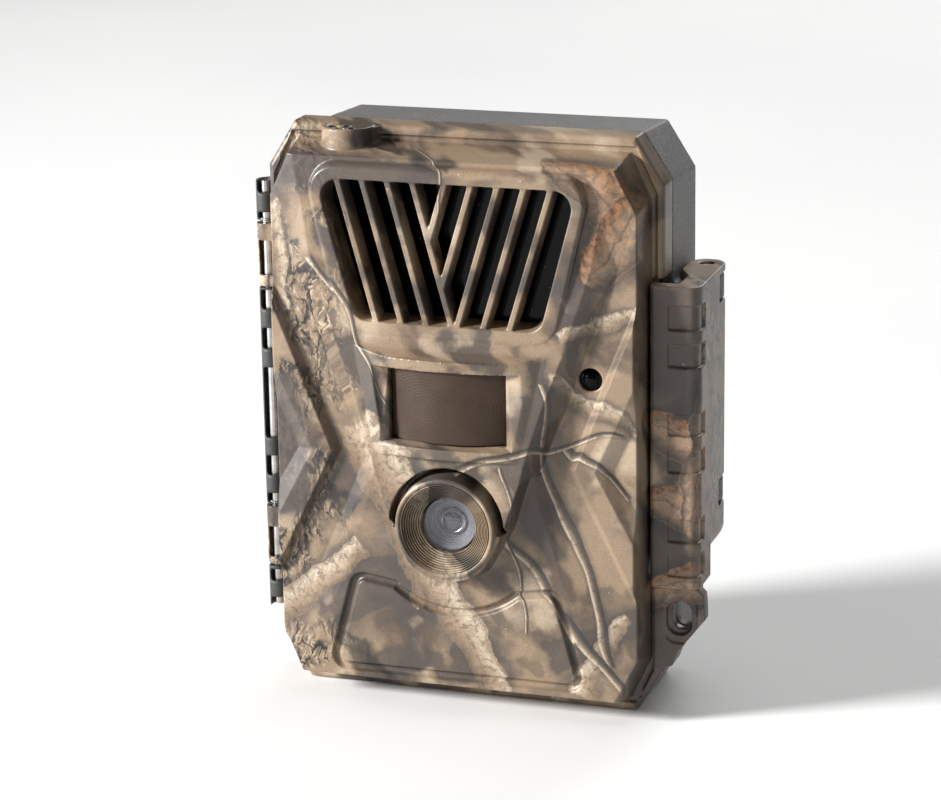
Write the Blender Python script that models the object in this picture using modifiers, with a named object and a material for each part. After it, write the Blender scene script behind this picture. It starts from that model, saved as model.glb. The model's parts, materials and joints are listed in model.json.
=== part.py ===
"""Trail camera: a hinged front cover with the optics, and a rear housing with the cells.

Lengths are in millimetres from the middle of the body's outline, with +X to the viewer's
right, -Y to the front and +Z up. at() turns them into world metres, where the body stands
on z = 0. Every piece is a separate closed solid; CLEAR is the gap kept between neighbours.
"""
import math

import bmesh
import bpy
from mathutils import Matrix, Vector

MM = 0.001
CLEAR = 0.3

# Body outline, an octagon shared by the cover flange and the housing.
HALF_WIDTH = 47.2
HALF_HEIGHT = 68.0
CORNER_X = 6.6
CORNER_Z = 10.6

# Depths of the main planes.
PARTING_Y = -4.7
FLANGE_FRONT_Y = -12.0
BLOCK_FRONT_Y = -20.9
MASK_FRONT_Y = -22.6
GRILLE_FRONT_Y = -24.9
PIR_FRONT_Y = -27.6
BOSS_FRONT_Y = -29.3
HOUSING_BACK_Y = 18.0
COVER_WALL = 2.5
HOUSING_WALL = 2.7

# Raised block of the cover.
BLOCK_HALF_WIDTH = 44.3
BLOCK_TOP = 64.6
BLOCK_DRAFT_X = 0.9
BLOCK_DRAFT_Z = 1.9

# Grille opening, a trapezoid.
GRILLE_TOP = 57.9
GRILLE_BOTTOM = 25.1
GRILLE_TOP_HALF = 30.8
GRILLE_BOTTOM_HALF = 22.0
GRILLE_CORNER = 4.2
GRILLE_LIP = 3.1
RIB_WIDTH = 1.9
RIB_PITCH = 6.0
RIB_DEPTH = 4.6

# Motion sensor window.
PIR_HALF = 14.0
PIR_TOP = 15.5
PIR_BOTTOM = -2.1
PIR_LENS_RADIUS = 32.0

# Camera lens.
LENS_Z = -21.5
BOSS_RADIUS = 12.0
RECESS_RADIUS = 10.9
WINDOW_RADIUS = 6.4
BARREL_RADIUS = 5.4

# Cover hinge, along Z on the left edge.
HINGE_X = -50.9
HINGE_RADIUS = 2.4
HINGE_PIN_RADIUS = 1.1
HINGE_TOP = 52.5
HINGE_BOTTOM = -53.0
COVER_KNUCKLES = ((27.0, 42.0), (-42.0, -27.5))
KNUCKLE_GAP = 0.5
HOUSING_WINDOWS = ((49.4, 53.5), (42.9, 44.6), (21.4, 26.0), (11.7, 16.7), (-10.3, 7.0),
                   (-19.7, -14.8), (-26.6, -24.3), (-46.4, -43.6), (-54.0, -50.7))
COVER_WINDOWS = ((29.5, 38.0), (-40.3, -32.6))

# Latch, pivoting along Z at the right rear.
LATCH_X = 52.0
LATCH_Y = 8.0
LATCH_RADIUS = 4.2
LATCH_TOP = 35.5
LATCH_BOTTOM = -35.6
LATCH_OUTER = 56.4
LATCH_FRONT_Y = -15.6
LATCH_LIP_X = 44.7
LATCH_LUGS = ((27.6, 33.4), (-21.0, -15.2))
LATCH_PIN_RADIUS = 1.4

# Microphone in the cover's top edge, as (x, y), and the round boss over it.
MICROPHONE = (-26.2, -16.3)
SOUND_BOSS = (-26.8, -13.4)
SOUND_BOSS_RADIUS = 5.9

# Padlock eye.
EYE_X = 51.6
EYE_Z = -43.2
EYE_WIDTH = 4.6
EYE_HEIGHT = 6.8
EYE_REAR_Y = -8.9

# Cells and their tray.
CELL_RADIUS = 7.1
CELL_LENGTH = 50.2
CELL_PITCH = 15.4
CELL_Y = 5.9
TRAY_FRONT_Y = 0.2
TRAY_BACK_Y = 15.0
TRAY_HALF = 32.4
TRAY_TOP = 53.2
TRAY_BOTTOM = -58.6
PIN_X = 36.6
PIN_Z = 5.0
BRACKET_SCREW_Z = 38.0

# Control panel, inside the cover.
PANEL_FRONT_Y = -6.6
PANEL_BACK_Y = -4.9
PANEL_HALF_WIDTH = 40.2
PANEL_HALF_HEIGHT = 59.6
SCREEN_HALF = 25.0
SCREEN_TOP = 50.0
SCREEN_BOTTOM = 12.0
PAD_Z = -13.0
PAD_PITCH = 9.0
KEY_RADIUS = 3.1
KEY_BACK_Y = -4.0
SWITCH_X = 27.0
CARD_LENGTH = 31.4
BAY = (-32.6, 28.0, -58.0, -33.0)
SCREW_X = 36.0
SCREW_Z = 54.0
POST_RADIUS = 3.2

# Fixings under and behind the body.
TRIPOD_Y = 9.5
TRIPOD_RADIUS = 4.6
JACK_X = 27.0
JACK_Y = 8.5
STRAP_HALF = 14.0
BRACKET_BACK_Y = 31.0

SMALL_ROUND = 16
LARGE_ROUND = 32


def at(x, y, z):
    """World position of a point given in millimetres from the body's middle."""
    return Vector((x, y, z + HALF_HEIGHT)) * MM


def clear_scene():
    for old in list(bpy.data.objects):
        bpy.data.objects.remove(old, do_unlink=True)


def collection(name):
    made = bpy.data.collections.new(name)
    bpy.context.scene.collection.children.link(made)
    return made


clear_scene()
PARTS = collection("trail_camera")
CUTTERS = collection("cutters")


def material(name, colour, roughness, metallic=0.0):
    made = bpy.data.materials.new(name)
    made.use_nodes = True
    shader = made.node_tree.nodes["Principled BSDF"]
    shader.inputs["Base Color"].default_value = (*colour, 1.0)
    shader.inputs["Roughness"].default_value = roughness
    shader.inputs["Metallic"].default_value = metallic
    made.diffuse_color = (*colour, 1.0)
    return made


# ---------------------------------------------------------------- shapes

def new_object(name, mesh, smooth=False):
    """Put a mesh in the cutters collection until finish_part() claims it."""
    made = bpy.data.objects.new(name, mesh)
    CUTTERS.objects.link(made)
    made.hide_render = True
    made.display_type = "WIRE"
    if smooth:
        mesh.shade_smooth()
        mesh.set_sharp_from_angle(angle=math.radians(35))
    return made


def mesh_from(bm, name):
    bmesh.ops.recalc_face_normals(bm, faces=bm.faces)
    mesh = bpy.data.meshes.new(name)
    bm.to_mesh(mesh)
    bm.free()
    return mesh


def cuboid(name, x, y, z):
    """Box from (low, high) pairs along each axis."""
    bm = bmesh.new()
    size = [high - low for low, high in (x, y, z)]
    centre = at(*(0.5 * (low + high) for low, high in (x, y, z)))
    place = Matrix.Translation(centre) @ Matrix.Diagonal((*(s * MM for s in size), 1.0))
    bmesh.ops.create_cube(bm, size=1.0, matrix=place)
    return new_object(name, mesh_from(bm, name))


def rod(name, axis, centre, low, high, radius, top_radius=None, sides=SMALL_ROUND):
    """Cylinder or cone along an axis; centre holds the other two coordinates in order."""
    if top_radius is None:
        top_radius = radius
    middle = 0.5 * (low + high)
    if axis == "X":
        place = Matrix.Translation(at(middle, *centre)) @ Matrix.Rotation(math.pi / 2, 4, "Y")
    elif axis == "Y":
        place = Matrix.Translation(at(centre[0], middle, centre[1]))
        place = place @ Matrix.Rotation(-math.pi / 2, 4, "X")
    else:
        place = Matrix.Translation(at(*centre, middle))
    bm = bmesh.new()
    bmesh.ops.create_cone(bm, cap_ends=True, segments=sides, radius1=radius * MM,
                          radius2=top_radius * MM, depth=(high - low) * MM, matrix=place)
    return new_object(name, mesh_from(bm, name), smooth=True)


def extrude(name, axis, loops, low, high):
    """Flat outline, with any inner loops as holes, made thick from low to high along axis.

    The outline's points are (x, z) for axis Y, (x, y) for axis Z and (y, z) for axis X.
    """
    shift = 0.0 if axis == "Z" else HALF_HEIGHT
    curve = bpy.data.curves.new(name, "CURVE")
    curve.dimensions = "2D"
    curve.fill_mode = "BOTH"
    curve.extrude = 0.5 * (high - low) * MM
    for loop in loops:
        spline = curve.splines.new("POLY")
        spline.points.add(len(loop) - 1)
        for point, (u, v) in zip(spline.points, loop):
            point.co = (u * MM, (v + shift) * MM, 0.0, 1.0)
        spline.use_cyclic_u = True
    holder = bpy.data.objects.new(name, curve)
    CUTTERS.objects.link(holder)
    bpy.context.view_layer.update()
    graph = bpy.context.evaluated_depsgraph_get()
    mesh = bpy.data.meshes.new_from_object(holder.evaluated_get(graph))
    bpy.data.objects.remove(holder, do_unlink=True)
    middle = 0.5 * (low + high) * MM
    if axis == "Y":
        place = Matrix(((1, 0, 0, 0), (0, 0, -1, middle), (0, 1, 0, 0), (0, 0, 0, 1)))
    elif axis == "X":
        place = Matrix(((0, 0, 1, middle), (1, 0, 0, 0), (0, 1, 0, 0), (0, 0, 0, 1)))
    else:
        place = Matrix.Translation((0, 0, middle + HALF_HEIGHT * MM))
    bm = bmesh.new()
    bm.from_mesh(mesh)
    bmesh.ops.transform(bm, matrix=place, verts=bm.verts)
    bmesh.ops.remove_doubles(bm, verts=bm.verts, dist=1e-6)
    bmesh.ops.dissolve_limit(bm, angle_limit=0.01, verts=bm.verts, edges=bm.edges)
    return new_object(name, mesh_from(bm, name))


def loft(name, sections):
    """Solid through outlines (x, z) at successive depths y, all with the same point count."""
    bm = bmesh.new()
    first_y, first = sections[0]
    face = bm.faces.new([bm.verts.new(at(x, first_y, z)) for x, z in first])
    for y, outline in sections[1:]:
        face = bmesh.ops.extrude_discrete_faces(bm, faces=[face])["faces"][0]
        for vert, (x, z) in zip(face.verts, outline):
            vert.co = at(x, y, z)
    base = bm.faces.new([v for v in reversed(list(bm.verts)[:len(first)])])
    base.normal_update()
    return new_object(name, mesh_from(bm, name))


def turned(name, axis, centre, profile, sides=LARGE_ROUND, closed=False):
    """Solid of revolution from (radius, height) points that run down the outer side."""
    mesh = bpy.data.meshes.new(name)
    count = len(profile)
    edges = [(i, i + 1) for i in range(count - 1)]
    if closed:
        edges.append((count - 1, 0))
    mesh.from_pydata([(r * MM, 0.0, h * MM) for r, h in profile], edges, [])
    holder = bpy.data.objects.new(name, mesh)
    CUTTERS.objects.link(holder)
    screw = holder.modifiers.new("Screw", "SCREW")
    screw.steps = sides
    screw.render_steps = sides
    screw.use_merge_vertices = True
    screw.merge_threshold = 1e-6
    bpy.context.view_layer.update()
    graph = bpy.context.evaluated_depsgraph_get()
    spun = bpy.data.meshes.new_from_object(holder.evaluated_get(graph))
    bpy.data.objects.remove(holder, do_unlink=True)
    if axis == "Y":
        place = Matrix.Translation(at(centre[0], 0.0, centre[1]))
        place = place @ Matrix.Rotation(-math.pi / 2, 4, "X")
    else:
        place = Matrix.Translation(at(centre[0], centre[1], 0.0))
    bm = bmesh.new()
    bm.from_mesh(spun)
    bmesh.ops.transform(bm, matrix=place, verts=bm.verts)
    bmesh.ops.remove_doubles(bm, verts=bm.verts, dist=1e-6)
    bmesh.ops.dissolve_degenerate(bm, edges=bm.edges, dist=1e-7)
    return new_object(name, mesh_from(bm, name), smooth=True)


def boolean(target, tool, operation):
    modifier = target.modifiers.new(tool.name, "BOOLEAN")
    modifier.operation = operation
    modifier.solver = "EXACT"
    modifier.object = tool
    return target


def cut(target, *tools):
    for tool in tools:
        boolean(target, tool, "DIFFERENCE")
    return target


def join(target, *tools):
    for tool in tools:
        boolean(target, tool, "UNION")
    return target


def keep(target, *tools):
    for tool in tools:
        boolean(target, tool, "INTERSECT")
    return target


def finish_part(obj, look, pivot=None, parent=None):
    """Move a shape into the part's collection, with its material, origin and parent."""
    CUTTERS.objects.unlink(obj)
    PARTS.objects.link(obj)
    obj.hide_render = False
    obj.display_type = "TEXTURED"
    obj.data.materials.clear()
    obj.data.materials.append(look)
    if pivot is not None:
        obj.data.transform(Matrix.Translation(-pivot))
        obj.location = pivot
    if parent is not None:
        obj.parent = parent
        obj.matrix_parent_inverse = Matrix.Translation(-parent.location)
    return obj


def pivot_empty(name, place):
    made = bpy.data.objects.new(name, None)
    made.empty_display_size = 10 * MM
    made.location = place
    PARTS.objects.link(made)
    return made


# ---------------------------------------------------------------- outlines

def octagon(half_width, top, bottom, corner_x, corner_z, left_corner=None):
    """Chamfered rectangle; left_corner gives the left chamfers another size."""
    left_x, left_z = left_corner or (corner_x, corner_z)
    return [(half_width, bottom + corner_z), (half_width, top - corner_z),
            (half_width - corner_x, top), (left_x - half_width, top),
            (-half_width, top - left_z), (-half_width, bottom + left_z),
            (left_x - half_width, bottom), (half_width - corner_x, bottom)]


def body_outline(inset):
    """The body's octagon moved in by an even inset."""
    slope = math.hypot(CORNER_X, CORNER_Z)
    corner_x = CORNER_X + inset * (slope - CORNER_X - CORNER_Z) / CORNER_Z
    corner_z = CORNER_Z + inset * (slope - CORNER_X - CORNER_Z) / CORNER_X
    return octagon(HALF_WIDTH - inset, HALF_HEIGHT - inset, inset - HALF_HEIGHT,
                   max(corner_x, 1.0), max(corner_z, 1.6))


def arc(centre, radius, start, end, steps):
    """Points on a circle from start to end, in degrees."""
    points = []
    for i in range(steps + 1):
        angle = math.radians(start + (end - start) * i / steps)
        points.append((centre[0] + radius * math.cos(angle), centre[1] + radius * math.sin(angle)))
    return points


def rounded(corners, radius, steps=4):
    """Round the corners of a convex outline with arcs."""
    points = []
    count = len(corners)
    for i in range(count):
        here = Vector(corners[i])
        before = (Vector(corners[i - 1]) - here).normalized()
        after = (Vector(corners[(i + 1) % count]) - here).normalized()
        half = 0.5 * before.angle(after)
        centre = here + (before + after).normalized() * radius / math.sin(half)
        start = here + before * radius / math.tan(half) - centre
        turn = start.angle_signed(here + after * radius / math.tan(half) - centre)
        for k in range(steps + 1):
            spoke = start.copy()
            spoke.rotate(Matrix.Rotation(-turn * k / steps, 2))
            points.append(tuple(centre + spoke))
    return points


def trapezoid(grow=0.0, top_half=GRILLE_TOP_HALF, bottom_half=GRILLE_BOTTOM_HALF):
    """Grille opening, grown evenly outwards."""
    slant = grow * 1.04
    return rounded([(top_half + slant, GRILLE_TOP + grow), (-top_half - slant, GRILLE_TOP + grow),
                    (-bottom_half - slant, GRILLE_BOTTOM - grow),
                    (bottom_half + slant, GRILLE_BOTTOM - grow)], GRILLE_CORNER + 0.7 * grow)


def mirrored(points):
    return [(-u, v) for u, v in reversed(points)]


def oval(centre, width, height, steps=8):
    straight = 0.5 * (height - width)
    return (arc((centre[0], centre[1] + straight), 0.5 * width, 0, 180, steps)
            + arc((centre[0], centre[1] - straight), 0.5 * width, 180, 360, steps))


# ---------------------------------------------------------------- materials

CAMO = material("camo_plastic", (0.52, 0.43, 0.32), 0.45)
GREY = material("grey_plastic", (0.16, 0.16, 0.16), 0.55)
BLACK = material("black_plastic", (0.03, 0.03, 0.03), 0.4)
RUBBER = material("seal_rubber", (0.05, 0.05, 0.05), 0.8)
WINDOW = material("infrared_window", (0.01, 0.01, 0.012), 0.06)
FRESNEL = material("fresnel_plastic", (0.16, 0.11, 0.08), 0.4)
GLASS = material("lens_glass", (0.35, 0.36, 0.38), 0.05)
STEEL = material("steel", (0.6, 0.6, 0.6), 0.3, 1.0)
BRASS = material("brass", (0.75, 0.6, 0.3), 0.35, 1.0)
BOARD = material("circuit_board", (0.03, 0.16, 0.08), 0.45)
CELL = material("cell_sleeve", (0.05, 0.06, 0.07), 0.3)
SCREEN = material("screen_glass", (0.02, 0.02, 0.025), 0.1)
KEY = material("key_plastic", (0.25, 0.25, 0.25), 0.5)

HINGE_AXIS = pivot_empty("cover_hinge_axis", at(HINGE_X, PARTING_Y, 0))
LATCH_AXIS = pivot_empty("latch_hinge_axis", at(LATCH_X, LATCH_Y, 0))


# ---------------------------------------------------------------- rear housing

def knuckle(name, low, high):
    return rod(name, "Z", (HINGE_X, PARTING_Y), low, high, HINGE_RADIUS)


def hinge_window(name, low, high):
    """Cored window in the front of the hinge strip, open through beside the body."""
    left = HINGE_X - HINGE_RADIUS + 0.8
    slit = HINGE_X + HINGE_PIN_RADIUS + 0.5
    right = HINGE_X + HINGE_RADIUS + 0.3
    front = PARTING_Y - 4.0
    middle = PARTING_Y + 0.2
    back = PARTING_Y + 4.2
    outline = [(left, front), (right, front), (right, back), (slit, back), (slit, middle),
               (left, middle)]
    return extrude(name, "Z", [outline], low, high)


def hinge_bore(name):
    return rod(name, "Z", (HINGE_X, PARTING_Y), HINGE_BOTTOM - 2, HINGE_TOP + 2,
               HINGE_PIN_RADIUS + CLEAR, sides=12)


def eye_plate(name, root, reach, low, high):
    """Padlock plate on the right edge, from x = root to x = reach, with its oval hole."""
    outline = [(root, -36.5), (reach - 0.3, -36.5), (reach, -43.6), (50.6, -52.2),
               (49.4, -55.6), (root, -56.4)]
    return extrude(name, "Y", [outline, oval((EYE_X, EYE_Z), EYE_WIDTH, EYE_HEIGHT)], low, high)


def rear_housing():
    front = octagon(HALF_WIDTH, HALF_HEIGHT, -HALF_HEIGHT, CORNER_X, CORNER_Z, (12.7, 14.0))
    middle = octagon(HALF_WIDTH, HALF_HEIGHT - 1.2, -HALF_HEIGHT, CORNER_X, CORNER_Z, (12.7, 14.0))
    back = octagon(HALF_WIDTH - 1.8, HALF_HEIGHT - 2.9, -HALF_HEIGHT, CORNER_X, CORNER_Z,
                   (12.7, 14.0))
    rim_y = PARTING_Y + CLEAR
    shell = loft("rear_housing", [(rim_y, front), (HOUSING_BACK_Y - 1.8, middle),
                                  (HOUSING_BACK_Y, back)])
    wall = HOUSING_WALL
    inside = octagon(HALF_WIDTH - wall, HALF_HEIGHT - wall - 1.2, wall - HALF_HEIGHT,
                     CORNER_X - 1.0, CORNER_Z - 1.6, (11.6, 12.6))
    hollow = loft("housing_hollow", [(rim_y - 2, inside), (HOUSING_BACK_Y - wall, inside)])
    cut(shell, hollow)
    ledge_outer = octagon(HALF_WIDTH - 2, HALF_HEIGHT - 3, 2 - HALF_HEIGHT, CORNER_X - 1.0,
                          CORNER_Z - 1.6, (11.6, 12.6))
    ledge_inner = octagon(HALF_WIDTH - 5.2, HALF_HEIGHT - 6.2, 5.2 - HALF_HEIGHT, CORNER_X - 2.0,
                          CORNER_Z - 3.2, (10.0, 11.0))
    join(shell, extrude("seal_ledge", "Y", [ledge_outer, ledge_inner], -1.5, -0.2))
    for i, (low, high) in enumerate(housing_knuckle_spans()):
        join(shell, knuckle(f"housing_knuckle_{i}", low, high))
        join(shell, cuboid(f"hinge_arm_{i}", (HINGE_X, -HALF_WIDTH + 1.0), (rim_y, -1.6),
                           (low, high)))
    for i, (low, high) in enumerate(COVER_KNUCKLES):
        cut(shell, cuboid(f"knuckle_room_{i}", (-54.0, -HALF_WIDTH - 0.05), (-9.0, 4.0),
                          (low - KNUCKLE_GAP, high + KNUCKLE_GAP)))
    for i, (low, high) in enumerate(HOUSING_WINDOWS):
        cut(shell, hinge_window(f"housing_hinge_window_{i}", low, high))
    cut(shell, hinge_bore("housing_hinge_bore"))
    rail = [(45.5, rim_y), (50.0, rim_y), (50.0, -3.6), (47.9, 0.6), (45.5, 0.6)]
    join(shell, extrude("latch_rail", "Z", [rail], LATCH_BOTTOM + 2, LATCH_TOP - 2))
    for i, (low, high) in enumerate(LATCH_LUGS):
        lug = arc((LATCH_X, LATCH_Y), LATCH_RADIUS - 0.2, -90, 90, 10)
        lug += [(45.0, LATCH_Y + LATCH_RADIUS - 0.2), (45.0, LATCH_Y - LATCH_RADIUS + 0.2)]
        join(shell, extrude(f"latch_lug_{i}", "Z", [lug], low, high))
    cut(shell, rod("housing_latch_bore", "Z", (LATCH_X, LATCH_Y), -24.0, 38.0,
                   LATCH_PIN_RADIUS + CLEAR, sides=12))
    eye_root = HALF_WIDTH + CLEAR
    join(shell, cuboid("eye_web", (45.5, eye_root + 1.6), (rim_y, -1.2), (-54.5, -37.0)))
    join(shell, cuboid("eye_arm", (eye_root, eye_root + 1.6), (EYE_REAR_Y, -3.0),
                       (-54.5, -37.0)))
    join(shell, eye_plate("housing_eye", eye_root, 55.3, EYE_REAR_Y, EYE_REAR_Y + 3.2))
    join(shell, cuboid("tripod_boss", (-8.0, 8.0), (2.0, 16.5), (-67.0, -59.1)))
    join(shell, cuboid("jack_boss", (JACK_X - 8.0, JACK_X + 8.0), (JACK_Y - 7.0, 16.5),
                       (-67.0, -62.4)))
    cut(shell, rod("tripod_hole", "Z", (0.0, TRIPOD_Y), -70.0, -59.9, TRIPOD_RADIUS + CLEAR))
    cut(shell, rod("plug_recess", "Z", (JACK_X, JACK_Y), -70.0, -65.6, 6.0))
    cut(shell, rod("jack_hole", "Z", (JACK_X, JACK_Y), -66.0, -60.0, 3.6))
    for z in (-BRACKET_SCREW_Z, BRACKET_SCREW_Z):
        join(shell, rod(f"bracket_boss_{z:.0f}", "Y", (PIN_X, z), 4.0, 16.5, 3.2,
                        sides=16))
        cut(shell, rod(f"bracket_bore_{z:.0f}", "Y", (PIN_X, z), 3.0, 20.0, 1.5,
                       sides=12))
    return finish_part(shell, GREY)


def housing_knuckle_spans():
    """Stretches of the hinge strip that belong to the housing."""
    edges = [HINGE_BOTTOM]
    for low, high in sorted(COVER_KNUCKLES):
        edges += [low - KNUCKLE_GAP, high + KNUCKLE_GAP]
    edges.append(HINGE_TOP)
    return list(zip(edges[0::2], edges[1::2]))


def housing_seal():
    outer = octagon(HALF_WIDTH - 3.0, HALF_HEIGHT - 4.2, 3.0 - HALF_HEIGHT, CORNER_X - 1.2,
                    CORNER_Z - 1.9, (11.3, 12.2))
    inner = octagon(HALF_WIDTH - 5.0, HALF_HEIGHT - 6.2, 5.0 - HALF_HEIGHT, CORNER_X - 1.9,
                    CORNER_Z - 3.0, (10.2, 11.2))
    finish_part(extrude("housing_seal", "Y", [outer, inner], PARTING_Y + CLEAR, -1.8), RUBBER)


def strap_bracket():
    """Rear bracket: two bridges that a strap threads through, and four toothed tree grips."""
    y = HOUSING_BACK_Y + CLEAR
    base = rounded([(42.0, 50.0), (-42.0, 50.0), (-42.0, -50.0), (42.0, -50.0)], 5.0)
    bracket = extrude("strap_bracket", "Y", [base], y, y + 2.8)
    for side in (-1, 1):
        low, high = sorted((side * 22.0, side * 30.0))
        bridge = cuboid(f"strap_bridge_{side}", (low, high), (y + 1.0, BRACKET_BACK_Y),
                        (-STRAP_HALF - 3.0, STRAP_HALF + 3.0))
        slot = cuboid(f"strap_slot_{side}", (low - 1, high + 1), (y + 2.8, BRACKET_BACK_Y - 3.4),
                      (-STRAP_HALF, STRAP_HALF))
        join(bracket, bridge)
        cut(bracket, slot)
        for up in (-1, 1):
            teeth = [(y + 1.0, up * 22.0), (BRACKET_BACK_Y, up * 24.0)]
            for k in range(4):
                teeth += [(BRACKET_BACK_Y - 2.2, up * (26.5 + 5.0 * k)),
                          (BRACKET_BACK_Y, up * (29.0 + 5.0 * k))]
            teeth += [(y + 1.0, up * 47.0)]
            join(bracket, extrude(f"tree_grip_{side}_{up}", "X", [teeth], low, high))
    for z in (-BRACKET_SCREW_Z, BRACKET_SCREW_Z):
        place = (PIN_X, z)
        cut(bracket, rod(f"bracket_hole_{z:.0f}", "Y", place, y - 1, y + 4, 1.8, sides=12))
    finish_part(bracket, BLACK)
    for i, z in enumerate((-BRACKET_SCREW_Z, BRACKET_SCREW_Z)):
        screw(f"bracket_screw_{i + 1}", (PIN_X, z), y + 2.8 + CLEAR, 6.0)


def screw(name, place, under_head, tip, parent=None):
    """Pan-head screw along Y; the head lies behind under_head and the tip points forward."""
    profile = [(0.0, under_head + 1.3), (1.6, under_head + 1.3), (2.3, under_head + 0.7),
               (2.3, under_head), (1.1, under_head), (1.1, tip + 0.8), (0.4, tip), (0.0, tip)]
    body = turned(name, "Y", place, profile, sides=12)
    slot = cuboid(f"{name}_slot", (place[0] - 1.7, place[0] + 1.7),
                  (under_head + 0.8, under_head + 2), (place[1] - 0.3, place[1] + 0.3))
    finish_part(cut(body, slot), STEEL, parent=parent)


def tripod_insert():
    profile = [(TRIPOD_RADIUS, -60.2), (TRIPOD_RADIUS, -67.8), (2.9, -67.8), (2.9, -60.2)]
    finish_part(turned("tripod_insert", "Z", (0.0, TRIPOD_Y), profile, 24, closed=True), BRASS)


def power_socket():
    """External power jack above the housing floor, and the rubber plug that closes it."""
    jack = cuboid("dc_jack", (JACK_X - 4.5, JACK_X + 4.5), (JACK_Y - 7.0, JACK_Y + 5.0),
                  (-62.1, -59.0))
    join(jack, rod("dc_jack_barrel", "Z", (JACK_X, JACK_Y), -65.2, -61.5, 3.2))
    cut(jack, rod("dc_jack_bore", "Z", (JACK_X, JACK_Y), -66.0, -60.0, 2.2))
    join(jack, rod("dc_jack_pin", "Z", (JACK_X, JACK_Y), -64.6, -59.5, 0.6, sides=10))
    finish_part(jack, BLACK)
    profile = [(0.0, -63.6), (1.4, -63.6), (1.7, -64.2), (1.7, -65.9), (5.7, -65.9),
               (5.7, -67.7), (0.0, -67.7)]
    hollow_pin = rod("plug_hollow", "Z", (JACK_X, JACK_Y), -65.5, -63.0, 0.95, sides=12)
    plug = cut(turned("power_plug", "Z", (JACK_X, JACK_Y), profile, 24), hollow_pin)
    finish_part(plug, RUBBER, pivot=at(JACK_X, JACK_Y, -67.7))


# ---------------------------------------------------------------- cells

def column_x(i):
    return (i - 1.5) * CELL_PITCH


def battery_tray():
    tray = cuboid("battery_tray", (-TRAY_HALF, TRAY_HALF), (TRAY_FRONT_Y, TRAY_BACK_Y),
                  (TRAY_BOTTOM, TRAY_TOP))
    pocket = CELL_RADIUS + CLEAR
    for i in range(4):
        x = column_x(i)
        cut(tray, cuboid(f"cell_pocket_{i}", (x - pocket, x + pocket), (-1.0, CELL_Y + pocket),
                         (TRAY_BOTTOM + 1.8, TRAY_TOP - 1.7)))
    for side in (-1, 1):
        low, high = sorted((side * 0.8, side * (TRAY_HALF - 1.8)))
        cut(tray, cuboid(f"jumper_room_{side}", (low, high), (-1.0, CELL_Y + pocket),
                         (50.3, TRAY_TOP - 1.7)))
    join(tray, cuboid("pin_ear", (TRAY_HALF - 1.0, PIN_X + 3.2), (5.0, 13.0),
                      (-PIN_Z - 3.5, PIN_Z + 3.5)))
    for z in (-PIN_Z, PIN_Z):
        cut(tray, rod(f"pin_bore_{z:.0f}", "Y", (PIN_X, z), 4.0, 14.0, 2.0 + CLEAR, sides=12))
    finish_part(tray, BLACK)


def cell(name, x, bottom):
    profile = [(0.0, CELL_LENGTH), (2.6, CELL_LENGTH), (2.6, CELL_LENGTH - 1.2),
               (CELL_RADIUS - 0.6, CELL_LENGTH - 1.2), (CELL_RADIUS, CELL_LENGTH - 1.8),
               (CELL_RADIUS, 0.5), (CELL_RADIUS - 0.5, 0.0), (0.0, 0.0)]
    raised = [(r, h + bottom) for r, h in profile]
    finish_part(turned(name, "Z", (x, CELL_Y), raised, SMALL_ROUND), CELL)


def spring_contact(name, x):
    """Contact plate with a conical spring of three turns under a column of cells."""
    plate_top = TRAY_BOTTOM + 2.6
    plate = cuboid(name, (x - 6.2, x + 6.2), (CELL_Y - 6.2, CELL_Y + 6.2),
                   (TRAY_BOTTOM + 2.1, plate_top))
    turns = 3
    steps = 8
    curve = bpy.data.curves.new(f"{name}_wire", "CURVE")
    curve.dimensions = "3D"
    curve.bevel_depth = 0.35 * MM
    curve.bevel_resolution = 1
    curve.use_fill_caps = True
    spline = curve.splines.new("POLY")
    spline.points.add(turns * steps)
    for i, point in enumerate(spline.points):
        share = i / (turns * steps)
        angle = 2 * math.pi * turns * share
        radius = 5.0 - 2.4 * share
        rise = plate_top + 0.1 + 4.9 * share
        spot = at(x + radius * math.cos(angle), CELL_Y + radius * math.sin(angle), rise)
        point.co = (*spot, 1.0)
    holder = bpy.data.objects.new(f"{name}_wire", curve)
    CUTTERS.objects.link(holder)
    bpy.context.view_layer.update()
    graph = bpy.context.evaluated_depsgraph_get()
    mesh = bpy.data.meshes.new_from_object(holder.evaluated_get(graph))
    bpy.data.objects.remove(holder, do_unlink=True)
    bm = bmesh.new()
    bm.from_mesh(mesh)
    bmesh.ops.remove_doubles(bm, verts=bm.verts, dist=1e-6)
    wire = new_object(f"{name}_wire", mesh_from(bm, f"{name}_wire"))
    finish_part(join(plate, wire), STEEL)


def cells_and_contacts():
    battery_tray()
    for i in range(4):
        spring_contact(f"spring_contact_{i + 1}", column_x(i))
        cell(f"cell_{2 * i + 1}", column_x(i), -CELL_LENGTH - 0.15)
        cell(f"cell_{2 * i + 2}", column_x(i), 0.15)
    for i, side in enumerate((-1, 1)):
        low, high = sorted((side * 1.2, side * (TRAY_HALF - 2.2)))
        plate = cuboid(f"contact_bridge_{i + 1}", (low, high), (CELL_Y - 6.4, CELL_Y + 6.4),
                       (50.65, 51.15))
        finish_part(plate, STEEL)


def power_pins():
    """Two sprung pins beside the tray that feed the board when the cover is shut."""
    for i, z in enumerate((-PIN_Z, PIN_Z)):
        profile = [(0.0, 13.4), (2.0, 13.4), (2.0, 3.0), (0.8, 2.2), (0.8, -4.3), (0.4, -4.6),
                   (0.0, -4.6)]
        pin = turned(f"power_pin_{i + 1}", "Y", (PIN_X, z), profile, 12)
        finish_part(pin, BRASS, pivot=at(PIN_X, -4.6, z))


# ---------------------------------------------------------------- latch and hinge pins

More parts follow.
